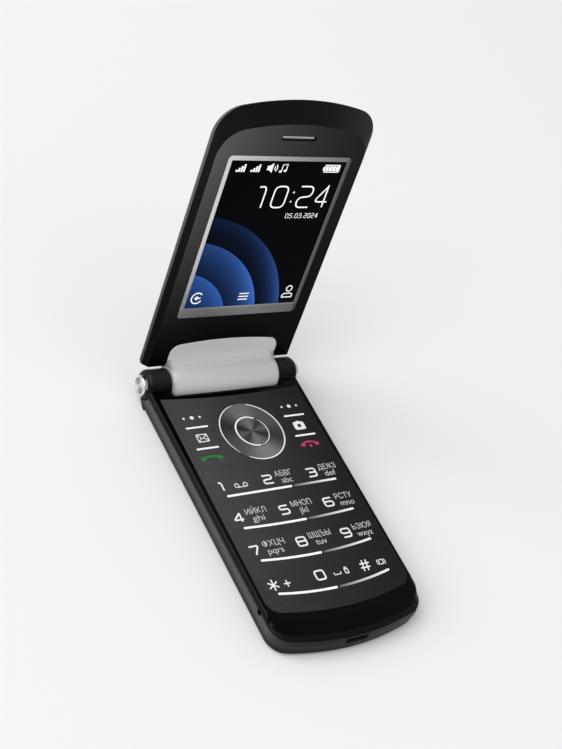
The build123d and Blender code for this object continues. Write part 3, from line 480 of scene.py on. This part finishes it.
# %% Inner finishes
SLOT_V, STRIP_HALF, STRIP_HIGH_HALF, MESH_PITCH = 78.21, 5.0, 0.26, 0.3
LENS_V, LENS_RIM, LENS_EYE = 17.2, (1.7, 2.1), 0.8
INNER = {
    "display": (0.0, 0.2), "board_green": (0.0, 0.45), "steel": (1.0, 0.3), "contact_metal": (1.0, 0.25),
    "battery_can": (0.3, 0.45), "black_plastic": (0.0, 0.5), "flex_film": (0.0, 0.4), "window": (0.0, 0.08),
}
colour_of = {m["slot"]: m["base_color"][:3] for m in frame["record"]["materials"]}
inner_paints = {}
for slot, (metal, rough) in INNER.items():
    paint = Paint("inner_" + slot, Metallic=metal)
    mottle = paint.noise(1500)
    low = tuple(0.8 * c for c in colour_of[slot]) + (1.0,)
    high = tuple(min(1.0, 1.2 * c) for c in colour_of[slot]) + (1.0,)
    paint.surface(
        Base_Color=paint.mix(mottle, low, high),
        Roughness=rough + mottle * 0.1,
        Normal=paint.bump(mottle, 0.000008),
    )
    inner_paints[slot] = paint
for node, slot in slot_of.items():
    if slot in inner_paints:
        wear(node, inner_paints[slot])
# Painted shade: the socket is painted near black, for the dark inside of its opening, with a faint mottle.
socket_black = Paint("socket_black", Metallic=0.5)
shade_mottle = socket_black.noise(1500)
socket_black.surface(Base_Color=socket_black.mix(shade_mottle, grey(0.004), grey(0.012)), Roughness=0.4 + shade_mottle * 0.2)
wear("charging_socket", socket_black)
mesh_paint = Paint("mesh_metal", Metallic=0.4)
u, v, _ = lid_place(mesh_paint)
# Painted shade: the mesh is near black in the slot's recess, except for a light strip along the slot.
strip = (abs(u + 0.1) < STRIP_HALF) * (abs(v - SLOT_V - 0.12) < STRIP_HIGH_HALF)
weave = (u * (2 * pi / MESH_PITCH)).sine() * 0.5 + 0.5
mesh_paint.surface(
    Base_Color=mesh_paint.mix(strip * (0.8 + weave * 0.2), grey(0.002), grey(0.55, 1.0)),
    Roughness=0.35 + weave * 0.1,
)
wear("earpiece_mesh", mesh_paint)
lens_glass = Paint("lens_glass", Roughness=0.06)
u, v, _ = lid_place(lens_glass)
from_lens = (u ** 2.0 + (v - LENS_V) ** 2.0) ** 0.5
# The lens's silver ring, and a painted reflection in its middle.
lens_rim = (from_lens > LENS_RIM[0]) * (from_lens < LENS_RIM[1])
lens_rim_and_reflection = lens_rim * 0.6 + (from_lens < LENS_EYE) * 0.15
lens_glass.surface(Base_Color=lens_glass.mix(lens_rim_and_reflection, grey(0.002), grey(0.2, 1.1)))
wear("camera_window", lens_glass)
print("inner parts dressed", len(inner_paints) + 3)

# %% [markdown]
# ## Flat print
# Digits, letters and icons are printed marks. Each is drawn in the plane of what carries it, as strokes
# of a given width along a path with rounded corners, as discs, or as words from Blender's own font turned
# into a mesh. One piece collects the marks of one key that share an ink, so that it can ride on that key.

# %% Drawing helpers
CORNER_STEPS = np.linspace(0, 1, 7)[:, None]
DISC_STEPS = np.linspace(0, 2 * pi, 29)[:-1]
FONT_CAPITAL = 0.7


def rounded(points, radius, closed=False):
    """A path with its corners cut by parabolas. Each starts and ends a radius away from the corner, or half
    a side where that is less."""
    p = np.asarray(points, float)
    before, after = (np.roll(p, 1, 0), np.roll(p, -1, 0)) if closed else (p[:-2], p[2:])
    corner = p if closed else p[1:-1]
    to_before, to_after = before - corner, after - corner
    long_before = np.linalg.norm(to_before, axis=1, keepdims=True)
    long_after = np.linalg.norm(to_after, axis=1, keepdims=True)
    first = corner + to_before * np.minimum(radius / long_before, 0.5)
    last = corner + to_after * np.minimum(radius / long_after, 0.5)
    s = CORNER_STEPS[None]
    curve = (1 - s) ** 2 * first[:, None] + 2 * s * (1 - s) * corner[:, None] + s**2 * last[:, None]
    curve = curve.reshape(-1, 2)
    return curve if closed else np.vstack([p[:1], curve, p[-1:]])


def stroke(path, width, closed=False):
    """A band along a path: each point moves half a width to both sides, square to the path."""
    p = np.asarray(path, float)
    ahead, behind = (np.roll(p, -1, 0), np.roll(p, 1, 0)) if closed else (
        np.vstack([p[1:], p[-1:]]), np.vstack([p[:1], p[:-1]]))
    way = ahead - behind
    way /= np.maximum(np.linalg.norm(way, axis=1, keepdims=True), 1e-12)
    side = np.stack([-way[:, 1], way[:, 0]], 1) * np.reshape(width, (-1, 1)) / 2
    points = np.vstack([p + side, p - side])
    n = len(p)
    i = np.arange(n if closed else n - 1)
    j = (i + 1) % n
    return points, np.stack([i, i + n, j + n, j], 1)


def disc(x, y, radius, flat=1.0):
    """A round dot as one face."""
    points = np.stack([x + radius * np.cos(DISC_STEPS), y + radius * flat * np.sin(DISC_STEPS)], 1)
    return points, np.arange(len(points))[None]


def patch(points):
    """A flat face on its outline, which runs anticlockwise."""
    return np.asarray(points, float), np.arange(len(points))[None]


def arc(x, y, radius, start, end, steps=48):
    """Points on a circle between two angles in degrees."""
    t = np.radians(np.linspace(start, end, steps))
    return np.stack([x + radius * np.cos(t), y + radius * np.sin(t)], 1)


def ring(x, y, radius, width, steps=48):
    """A circle drawn as a line."""
    return stroke(arc(x, y, radius, 0, 360, steps)[:-1], width, True)


def frame_strokes(x, y, wide, high, width, radius):
    """A rounded rectangle drawn as a line."""
    a, b = wide / 2, high / 2
    corners = [(x - a, y - b), (x + a, y - b), (x + a, y + b), (x - a, y + b)]
    return stroke(rounded(corners, radius, True), width, True)


def tray(left, right, rim, base, width, radius):
    """A line from the rim to the base, along it and back to the rim, with rounded corners."""
    return stroke(rounded([(left, rim), (left, base), (right, base), (right, rim)], radius), width)


def word(text, capital, middle, base, wide):
    """A word in Blender's font, scaled to the height of a capital and to a width."""
    curve = bpy.data.curves.new("word", "FONT")
    curve.body, curve.align_x = text, "CENTER"
    holder = bpy.data.objects.new("word", curve)
    bpy.context.scene.collection.objects.link(holder)
    mesh = bpy.data.meshes.new_from_object(holder.evaluated_get(bpy.context.evaluated_depsgraph_get()))
    points = np.empty(len(mesh.vertices) * 3)
    mesh.vertices.foreach_get("co", points)
    points = points.reshape(-1, 3)[:, :2] * capital / FONT_CAPITAL
    corners = np.empty(len(mesh.loops), int)
    mesh.loops.foreach_get("vertex_index", corners)
    bpy.data.objects.remove(holder)
    bpy.data.meshes.remove(mesh)
    span = np.ptp(points[:, 0])
    points[:, 0] = (points[:, 0] - points[:, 0].min() - span / 2) * (wide / span)
    return points + (middle, base), corners.reshape(-1, 3)


GLYPHS = {
    "0": [([(0, 0), (1, 0), (1, 1), (0, 1)], True)],
    "1": [([(0.1, 0.97), (0.62, 1), (0.62, 0)], False)],
    "2": [([(0, 1), (1, 1), (1, 0.52), (0, 0.48), (0, 0), (1, 0)], False)],
    "3": [([(0, 1), (1, 1), (1, 0), (0, 0)], False), ([(0.22, 0.52), (1, 0.52)], False)],
    "4": [([(1.05, 0.26), (0, 0.26), (0.8, 1)], False), ([(0.8, 1.06), (0.8, 0)], False)],
    "5": [([(1, 1), (0.05, 1), (0.05, 0.56), (1, 0.56), (1, 0), (0, 0)], False)],
    "6": [([(0.95, 1), (0, 1), (0, 0), (1, 0), (1, 0.56), (0.05, 0.56)], False)],
    "7": [([(0, 1), (1, 1), (0.42, 0)], False)],
    "8": [([(0, 0), (1, 0), (1, 1), (0, 1)], True), ([(0.05, 0.52), (0.95, 0.52)], False)],
    "9": [([(0.05, 0), (1, 0), (1, 1), (0, 1), (0, 0.46), (0.95, 0.46)], False)],
    "star": [
        ([(0.5, 1), (0.5, 0)], False), ([(0.02, 0.75), (0.98, 0.25)], False),
        ([(0.02, 0.25), (0.98, 0.75)], False),
    ],
    "hash": [
        ([(0.4, 1), (0.22, 0)], False), ([(0.82, 1), (0.64, 0)], False),
        ([(0.04, 0.68), (1.04, 0.68)], False), ([(0, 0.32), (1, 0.32)], False),
    ],
}


def glyph(name, middle, foot, wide, high, width, radius):
    """The strokes of one digit in a box of the given size."""
    corner = (middle - wide / 2, foot)
    return [
        stroke(rounded(np.multiply(points, (wide, high)) + corner, radius, closed), width, closed)
        for points, closed in GLYPHS[name]
    ]


def build_mesh(name, points, faces, paint, body):
    """A mesh piece at the origin that rides on a body."""
    mesh = bpy.data.meshes.new(name)
    mesh.from_pydata(points.tolist(), [], faces)
    mesh.materials.append(paint.material)
    piece = bpy.data.objects.new(name, mesh)
    bpy.context.scene.collection.objects.link(piece)
    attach(piece, body)
    return piece


PRINT_LIFT = 0.02
PRINT_THICK = 0.05
PRINT_LAYER = 0.002


def printed(name, shapes, place, paint, body):
    """One piece of print: flat shapes in millimetres, laid on a surface by place and given a little
    thickness. Each shape lies a hair above the one before it, so that shapes which cross share no face."""
    sizes = [len(points) for points, _ in shapes]
    starts = np.cumsum([0] + sizes)
    corner, right, up = place(np.array([(0, 0), (1, 0), (0, 1)], float))
    layer = np.repeat(np.arange(len(shapes)), sizes)[:, None] * PRINT_LAYER
    outwards = np.cross(right - corner, up - corner) / MM
    points = place(np.vstack([points for points, _ in shapes])) + layer * outwards
    faces = [row for (_, f), start in zip(shapes, starts) for row in (f + start).tolist()]
    piece = build_mesh(name, points, faces, paint, body)
    thick = piece.modifiers.new("thick", "SOLIDIFY")
    thick.thickness, thick.offset = PRINT_THICK * MM, -1
    return piece


def on_keypad(node):
    """Lays flat shapes just above the top of a keypad node."""
    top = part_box(node)[1].z + PRINT_LIFT * MM
    return lambda flat: np.column_stack([flat * MM, np.full(len(flat), top)])


print("drawing helpers ready")

# %% [markdown]
# ## Print on the number keys
# The digits are wide and square with rounded corners, and beside 2 to 9 stand the two usual groups of
# letters. The digits are strokes; the letters are small, so the plain built-in font does for them.

# %% Number keys
def ink(name, dark, light, glow):
    """Matt print that glows a little, speckled between two colours."""
    paint = Paint(name, Emission_Strength=glow)
    fleck = paint.noise(4000)
    colour = paint.mix(fleck, dark, light)
    return paint.surface(Base_Color=colour, Emission_Color=colour, Roughness=0.4 + fleck * 0.1)


key_print = ink("key_print", grey(0.78, 1.0), grey(0.9, 1.0), 0.12)
letter_print = ink("letter_print", grey(0.5, 1.0), grey(0.6, 1.0), 0.1)
COLUMN_X = (-18.5, -3.5, 11.6)
ROW_Y = (3.6, -6.9, -17.5, -28.4)
KEY_ROWS = (("1", "2", "3"), ("4", "5", "6"), ("7", "8", "9"), ("star", "0", "hash"))
LETTERS = {
    "2": ("АБВГ", 5.8, "abc", 3.6), "3": ("ДЕЖЗ", 6.2, "def", 3.8), "4": ("ИЙКЛ", 6.6, "ghi", 3.9),
    "5": ("МНОП", 6.8, "jkl", 2.7), "6": ("РСТУ", 5.8, "mno", 4.8), "7": ("ФХЦЧ", 7.0, "pqrs", 5.0),
    "8": ("ШЩЪЫ", 7.4, "tuv", 3.7), "9": ("ЬЭЮЯ", 6.5, "wxyz", 5.3),
}
SYMBOL_HIGH, SYMBOL_STROKE = 3.4, 0.4
DIGIT_WIDE, DIGIT_HIGH, DIGIT_STROKE, DIGIT_ROUND = 2.85, 2.7, 0.5, 0.7
OTHER_WIDE = {"1": 1.6, "star": 3.0, "hash": 3.2}
ICON_STROKE, PLUS_STROKE, LOCK_STROKE, FINE_STROKE = 0.26, 0.36, 0.3, 0.22
TAPE_REELS = (4.6, 7.4)
UPPER_HIGH, UPPER_LEFT, UPPER_FOOT = 1.8, 2.9, 0.45
LOWER_HIGH, LOWER_MIDDLE, LOWER_FOOT = 1.85, 6.0, -1.9


def key_marks(name, x, y):
    """All the marks of one number key whose digit is centred on x, y."""
    wide = OTHER_WIDE.get(name, DIGIT_WIDE)
    high, line = (SYMBOL_HIGH, SYMBOL_STROKE) if name in ("star", "hash") else (DIGIT_HIGH, DIGIT_STROKE)
    shapes = glyph(name, x, y - high / 2, wide, high, line, DIGIT_ROUND)
    if name == "1":
        shapes += [ring(x + reel, y - 0.4, 0.62, ICON_STROKE) for reel in TAPE_REELS]
        shapes.append(stroke([(x + reel, y - 1.02) for reel in TAPE_REELS], ICON_STROKE))
    if name == "star":
        shapes.append(stroke([(x + 3.2, y - 0.3), (x + 5.2, y - 0.3)], PLUS_STROKE))
        shapes.append(stroke([(x + 4.2, y - 1.3), (x + 4.2, y + 0.7)], PLUS_STROKE))
    if name == "0":
        shapes.append(tray(x + 4.4, x + 6.6, y - 0.2, y - 0.9, ICON_STROKE, 0.2))
        shapes.append(frame_strokes(x + 8.6, y - 0.4, 1.0, 1.4, LOCK_STROKE, 0.2))
        shapes.append(stroke(arc(x + 8.6, y + 0.45, 0.35, 0, 180, 12), FINE_STROKE))
    if name == "hash":
        shapes.append(frame_strokes(x + 5.7, y, 1.4, 1.4, ICON_STROKE, 0.4))
        shapes += [stroke(arc(x + 5.7, y, 1.35, mid - 38, mid + 38, 12), FINE_STROKE) for mid in (0, 180)]
    return shapes


def key_letters(name, x, y):
    """The two groups of letters beside a digit."""
    upper, upper_wide, lower, lower_wide = LETTERS[name]
    return [
        word(upper, UPPER_HIGH, x + UPPER_LEFT + upper_wide / 2, y + UPPER_FOOT, upper_wide),
        word(lower, LOWER_HIGH, x + LOWER_MIDDLE, y + LOWER_FOOT, lower_wide),
    ]


for row, names in enumerate(KEY_ROWS):
    for x, name in zip(COLUMN_X, names):
        key = "key_" + name
        printed("print_" + key, key_marks(name, x, ROW_Y[row]), on_keypad(key), key_print, key)
        if name in LETTERS:
            printed("letters_" + key, key_letters(name, x, ROW_Y[row]), on_keypad(key), letter_print, key)
print("number keys printed")

# %% [markdown]
# ## Print on the side keys
# The two soft keys carry three dots, the others an envelope, a camera, a green lifted handset and a red
# laid one.

# %% Side keys
call_green = ink("call_green", (0.012, 0.13, 0.012, 1), (0.025, 0.2, 0.025, 1), 0.3)
end_red = ink("end_red", (0.32, 0.012, 0.07, 1), (0.46, 0.03, 0.12, 1), 0.3)
SOFT_Y = 27.7
SOFT_DOTS = ((19.34, 0.36), (16.7, 0.62), (14.1, 0.36))


def handset(x, y, half, drop):
    """A handset: a flat arch with a round blob under each end."""
    t = np.linspace(-1, 1, 41)
    path = np.stack([x + half * t, y - drop * t**2 + drop / 2], 1)
    blobs = [disc(x + side * (half - 0.45), y - drop * 0.5 - 0.1, 0.8, 0.75) for side in (-1, 1)]
    return [stroke(path, 0.6), *blobs]


side_marks = {
    "key_message": [
        frame_strokes(-16.6, 20.35, 3.3, 2.5, 0.3, 0.2),
        stroke([(-18.1, 21.45), (-16.6, 20.1), (-15.1, 21.45)], 0.28),
        stroke([(-18.1, 19.25), (-17.1, 20.3)], 0.24),
        stroke([(-15.1, 19.25), (-16.1, 20.3)], 0.24),
    ],
    "key_camera": [
        frame_strokes(16.5, 20.25, 3.1, 2.2, 0.7, 0.3),
        ring(16.5, 20.25, 0.98, 0.66),
        patch([(15.8, 21.5), (17.2, 21.5), (17.0, 22.0), (16.0, 22.0)]),
    ],
    "key_call": handset(-16.9, 13.6, 3.2, 0.55),
    "key_end": handset(16.5, 13.8, 2.9, 0.9) + [disc(16.5, 12.75, 0.5)],
}
for sign, key in ((-1, "key_soft_left"), (1, "key_soft_right")):
    side_marks[key] = [disc(sign * x, SOFT_Y, radius) for x, radius in SOFT_DOTS]
for key, shapes in side_marks.items():
    paint = {"key_call": call_green, "key_end": end_red}.get(key, key_print)
    printed("print_" + key, shapes, on_keypad(key), paint, key)
print("side keys printed", len(side_marks))

# %% [markdown]
# ## White arcs on the dial
# Two arcs run round the rim of the ring and one thick and one thin arc round the middle key. An arc
# swells in its middle and runs out to a point, so its width is a sine of the way along it.

# %% Dial arcs
RIM_RADIUS = 9.98
ARC_STEPS = 96


def swelling_arc(radius, start, end, thin, thick, power=0.6):
    """An arc about the dial's middle whose width grows from thin to thick and back."""
    path = arc(0, DIAL.y / MM, radius, start, end, ARC_STEPS)
    return stroke(path, thin + (thick - thin) * np.sin(np.linspace(0, pi, ARC_STEPS)) ** power)


ring_arcs = [
    swelling_arc(RIM_RADIUS, 76, -122, 0.2, 0.4, 0.4), swelling_arc(RIM_RADIUS, 102, 222, 0.08, 0.36),
]
select_arcs = [swelling_arc(5.12, 58, 274, 0.42, 0.52, 0.5), swelling_arc(5.2, 50, -80, 0.06, 0.26)]
printed("print_nav_ring", ring_arcs, on_keypad("nav_ring"), key_print, "nav_ring")
printed("print_key_select", select_arcs, on_keypad("key_select"), key_print, "key_select")
print("dial arcs drawn")

# %% [markdown]
# ## The screen
# The lid's plane is turned, so a point of the screen is given by u across, v up the lid from the hinge
# line and n out of the lid. The window node carries the wallpaper, worked out from those coordinates:
# soft rings of blue light that spread from the lower left corner. Clock, date and icons are print like
# that of the keys, but lit.

# %% Screen picture
SCREEN_FOOT = 24.56
RINGS_FROM = (-24.0, -8.0)
RINGS = ((20.0, 9.0, 0.5), (30.0, 5.0, 0.75), (38.0, 3.0, 0.5))


def lid_height(node):
    """How far a node's front stands out of the plane through the hinge line, in millimetres."""
    count = len(nodes[node].data.vertices)
    points = np.empty(count * 3)
    nodes[node].data.vertices.foreach_get("co", points)
    return float(((points.reshape(-1, 3) - np.array(HINGE)) @ np.array(LID_OUT)).max()) / MM


def on_lid(height):
    """Lays flat shapes, in millimetres across and up from the hinge line, at a height out of the lid."""
    def place(flat):
        up = flat[:, 1:] * np.array(LID_UP) + height * np.array(LID_OUT)
        return np.array(HINGE) + (up + np.column_stack([flat[:, 0], 0 * flat])) * MM
    return place


picture = Paint(
    "screen_picture", Base_Color=grey(0.001), Roughness=0.08, Specular_IOR_Level=0.02, Emission_Strength=1.0
)
u, v, _ = lid_place(picture)
v = v - SCREEN_FOOT
reach = ((u - RINGS_FROM[0]) ** 2.0 + (v - RINGS_FROM[1]) ** 2.0) ** 0.5
glow = 0.0
for radius, soft, rim in RINGS:
    inside = radius - reach
    glow = glow + (inside > 0.0) * DECAY ** (-inside / soft) * rim
side_fade = DECAY ** (-((v - 4.0) / 20.0) ** 2.0)
glow = (glow * side_fade).share()
picture.surface(Emission_Color=picture.mix(glow ** 1.3, (0.0, 0.0, 0.0008, 1), (0.06, 0.2, 0.75, 1)))
wear("screen_window", picture)
screen_top = lid_height("screen_window")
print("screen front at", round(screen_top, 3))

# %% Clock, date and icons
screen_white = Paint("screen_white", Base_Color=grey(0.5, 1.0), Emission_Strength=0.85)
dots = screen_white.noise(9000)
screen_white.surface(
    Emission_Color=screen_white.mix(dots, grey(0.85, 1.0), grey(0.95, 1.0)), Roughness=0.4 + dots * 0.1
)


def number(text, left, foot, wide, high, width, gap, radius):
    """A row of thin digits; a colon or a point takes a third of a digit's room."""
    shapes, x = [], left
    for mark in text:
        if mark in ":.":
            heights = (0.28, 0.72) if mark == ":" else (0.04,)
            shapes += [disc(x + wide / 6, foot + high * h, width * 0.62) for h in heights]
            x += wide / 3 + gap
        else:
            shapes += glyph(mark, x + wide / 2, foot, wide, high, width, radius)
            x += wide + gap
    return shapes


def rectangle(left, foot, wide, high):
    """A filled upright rectangle."""
    return patch([(left, foot), (left + wide, foot), (left + wide, foot + high), (left, foot + high)])


def bars(left, foot):
    """Signal strength: four bars that grow to the right."""
    return [rectangle(left + 0.75 * k, foot, 0.5, 0.6 + 0.55 * k) for k in range(4)]


foot = SCREEN_FOOT
marks = number("10:24", -7.5, foot + 32.5, 4.35, 6.6, 0.42, 1.3, 1.7)
marks += number("05.03.2024", 4.6, foot + 29.1, 0.85, 1.4, 0.13, 0.38, 0.35)
row = foot + 44.75
marks += bars(-16.5, row - 1.25) + bars(-11.9, row - 1.25)
marks.append(patch([
    (-6.9, row - 0.65), (-6.2, row - 0.65), (-5.2, row - 1.45),
    (-5.2, row + 1.45), (-6.2, row + 0.65), (-6.9, row + 0.65),
]))
marks += [stroke(arc(-5.2, row, r, -42, 42, 12), 0.24) for r in (0.8, 1.5)]
marks += [disc(-2.4, row - 1.05, 0.42, 0.8), disc(-0.95, row - 0.8, 0.42, 0.8)]
marks.append(stroke([(-2.1, row - 1.05), (-2.1, row + 0.95), (-0.65, row + 1.2), (-0.65, row - 0.8)], 0.26))
marks.append(frame_strokes(14.4, row, 5.0, 2.1, 0.26, 0.25))
marks.append(rectangle(11.4, row - 0.5, 0.4, 1.0))
marks += [rectangle(x, row - 0.72, 0.9, 1.44) for x in (12.3, 13.45, 14.6, 15.75)]
marks.append(stroke(arc(-15.4, foot + 3.3, 1.75, 40, 330), 0.34))
marks.append(patch([(-16.3, foot + 3.3), (-15.3, foot + 2.5), (-15.3, foot + 4.1)]))
marks.append(stroke([(-15.4, foot + 3.3), (-14.3, foot + 3.3)], 0.4))
marks += [stroke([(-1.6, foot + h), (1.6, foot + h)], 0.32) for h in (2.1, 3.1, 4.1)]
marks.append(ring(15.3, foot + 5.0, 0.95, 0.3, 32))
marks.append(tray(13.6, 17.0, foot + 2.0, foot + 3.3, 0.3, 1.2))
marks.append(stroke([(13.5, foot + 2.0), (17.1, foot + 2.0)], 0.3))
printed("screen_marks", marks, on_lid(screen_top + PRINT_LIFT), screen_white, "lid")
print("screen marks", len(marks))

# %% [markdown]
# ## The hinge cover
# The hinge cover is one casting: a barrel that is a little thicker in its middle, and a flange on the lid
# that runs down into the barrel in a hollow curve. The CAD solid keeps it plain, so this piece stands for
# it: the barrel is a profile turned about the hinge line, and the flange a profile carried across the
# lid.

# %% Hinge cover
BARREL_HALF, BARREL_CREST, BARREL_ROUND, BARREL_BORE = 18.4, 16.7, 1.7, 2.95
FLANGE_FRONT, FLANGE_BACK, FLANGE_EDGE, FLANGE_CORNER = -2.18, -2.98, 0.25, 3.0
FLANGE_TOP, FLANGE_ARC = 12.78, 120.8
HOLLOW = 1.1
NECK_FOOT = (5.28, -6.2)
NECK_ANGLE = radians(-63)
BARREL_MIDDLE, BARREL_FALL, BARREL_TURNS = 5.95, 0.4, 128
SHARP_ANGLE = radians(35)


def barrel_radius(x):
    """The crown of the barrel: its middle radius, less the fall times the squared way to the crest."""
    return BARREL_MIDDLE - BARREL_FALL * (x / BARREL_CREST) ** 2


def grid_faces(rows, columns, closed):
    """Quads on a grid whose columns run round and whose rows may close too."""
    i, j = np.meshgrid(np.arange(rows if closed else rows - 1), np.arange(columns), indexing="ij")
    k, l = (i + 1) % rows, (j + 1) % columns
    quads = np.stack([i * columns + j, i * columns + l, k * columns + l, k * columns + j], -1)
    return quads.reshape(-1, 4)


def mirrored(half):
    """Stations from the negative end to the positive end of a half that starts at 0."""
    return np.concatenate([-half[:0:-1], half])


def turned_barrel():
    """Crown, quarter-round ends, flat end faces and bore: one closed profile turned about the hinge line."""
    t = np.linspace(0, pi / 2, 10)[1:]
    x = np.linspace(0, BARREL_CREST, 25)
    foot = barrel_radius(BARREL_CREST) - BARREL_ROUND
    half_x = np.concatenate([x, BARREL_CREST + BARREL_ROUND * np.sin(t), [BARREL_HALF]])
    half_r = np.concatenate([barrel_radius(x), foot + BARREL_ROUND * np.cos(t), [BARREL_BORE]])
    along = mirrored(half_x)[:, None]
    radius = np.concatenate([half_r[:0:-1], half_r])[:, None]
    angle = np.linspace(0, 2 * pi, BARREL_TURNS + 1)[:-1]
    points = np.stack(np.broadcast_arrays(along, radius * np.cos(angle), radius * np.sin(angle)), -1)
    return points.reshape(-1, 3), grid_faces(len(along), BARREL_TURNS, True).tolist()


def carried_flange():
    """Flange edge, face, hollow down to the barrel and neck behind it, as one closed profile carried across.
    The flange top is an arc with rounded corners; the hollow is a circle that touches face and barrel."""
    straight = BARREL_HALF - FLANGE_CORNER
    half_x = np.linspace(0, straight, 23)
    half_x = np.concatenate([half_x, straight + FLANGE_CORNER * np.sin(np.linspace(0, pi / 2, 16))[1:]])
    x = mirrored(half_x)[:, None]
    over = np.clip(np.abs(x) - straight, 0, FLANGE_CORNER)
    top = FLANGE_TOP - FLANGE_ARC + np.sqrt(FLANGE_ARC**2 - x**2)
    top = top - FLANGE_CORNER + np.sqrt(FLANGE_CORNER**2 - over**2)
    barrel = barrel_radius(x)
    centre_n = FLANGE_FRONT + HOLLOW
    centre_v = np.sqrt((barrel + HOLLOW) ** 2 - centre_n**2)
    lean = np.arctan2(centre_n, centre_v)
    edge = np.linspace(0, pi / 2, 6)
    turn = 1.5 * pi + (lean - pi / 2) * np.linspace(0, 1, 16)
    inside = lean + (NECK_ANGLE - lean) * np.linspace(0, 1, 6)
    sink = barrel * np.linspace(0.97, 0.95, 6)
    level = np.zeros_like(x)
    v = np.hstack([
        top, top - FLANGE_EDGE + FLANGE_EDGE * np.cos(edge), centre_v + HOLLOW * np.cos(turn),
        sink * np.cos(inside), level + NECK_FOOT[0], level + NECK_FOOT[0],
    ])
    n = np.hstack([
        level + FLANGE_BACK, level + FLANGE_FRONT - FLANGE_EDGE + FLANGE_EDGE * np.sin(edge),
        centre_n + HOLLOW * np.sin(turn), sink * np.sin(inside), level + NECK_FOOT[1], level + FLANGE_BACK,
    ])
    rows, columns = v.shape
    points = np.stack([np.broadcast_to(x, v.shape), v, n], -1).reshape(-1, 3)
    ends = [list(range(columns))[::-1], list(range((rows - 1) * columns, rows * columns))]
    return points, grid_faces(rows, columns, False).tolist() + ends


barrel_points, barrel_faces = turned_barrel()
flange_points, flange_faces = carried_flange()
cover_points = np.vstack([barrel_points, flange_points])
cover_faces = barrel_faces + [[k + len(barrel_points) for k in face] for face in flange_faces]
lid_axes = np.array([(1, 0, 0), LID_UP, LID_OUT])
hinge_piece = build_mesh(
    "hinge_cover_smooth", np.array(HINGE) + cover_points @ lid_axes * MM, cover_faces, silver, "lid"
)
hinge_piece.data.shade_smooth()
hinge_piece.data.set_sharp_from_angle(angle=SHARP_ANGLE)
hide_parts("hinge_cover")
print("hinge cover faces", len(cover_faces))

# %% [markdown]
# ## Floor and light
# The phone stands on a plain pale floor under soft light: an even dome of light, and one large lamp from
# the upper left that models the shapes. The levels are such that a colour renders about as it is written.
# Only where the camera looks past the floor does the dome show paler than the light it gives.

# %% Studio
FLOOR_HALF, FLOOR_DROP = 4.0, 0.0001
DOME_LEVEL, DOME_SEEN_MORE = 0.45, 0.42
LAMP_PLACE, LAMP_SIZE, LAMP_POWER = (-3.4, 0.5, 2.9), 5.0, 230

floor_paint = Paint("floor", Roughness=0.9, Specular_IOR_Level=0.1)
floor_paint.surface(Base_Color=floor_paint.mix(floor_paint.noise(3.0), grey(0.925, 1.0), grey(0.935, 1.0)))
mesh = bpy.data.meshes.new("floor")
floor_corners = FLOOR_HALF * np.array([(-1, -1, 0), (1, -1, 0), (1, 1, 0), (-1, 1, 0)])
mesh.from_pydata(floor_corners.tolist(), [], [(0, 1, 2, 3)])
mesh.materials.append(floor_paint.material)
floor = bpy.data.objects.new("floor", mesh)
floor.location.z = cad_low.z - FLOOR_DROP
bpy.context.scene.collection.objects.link(floor)

world = bpy.data.worlds.new("dome")
bpy.context.scene.world = world
world.use_nodes = True
sky = world.node_tree.nodes["Background"]
sky.inputs["Color"].default_value = grey(1.0, 1.0)
rays = world.node_tree.nodes.new("ShaderNodeLightPath")
level = world.node_tree.nodes.new("ShaderNodeMath")
level.operation = "MULTIPLY_ADD"
level.inputs[1].default_value, level.inputs[2].default_value = DOME_SEEN_MORE, DOME_LEVEL
world.node_tree.links.new(rays.outputs["Is Camera Ray"], level.inputs[0])
world.node_tree.links.new(level.outputs[0], sky.inputs["Strength"])


def lamp(name, place, size, power):
    """A square soft lamp that looks at the phone."""
    light = bpy.data.lights.new(name, "AREA")
    light.size, light.energy = size, power
    made = bpy.data.objects.new(name, light)
    made.location = place
    made.rotation_mode = "QUATERNION"
    made.rotation_quaternion = (-Vector(place)).to_track_quat("-Z", "Y")
    bpy.context.scene.collection.objects.link(made)


lamp("key_lamp", LAMP_PLACE, LAMP_SIZE, LAMP_POWER)
print("studio ready")
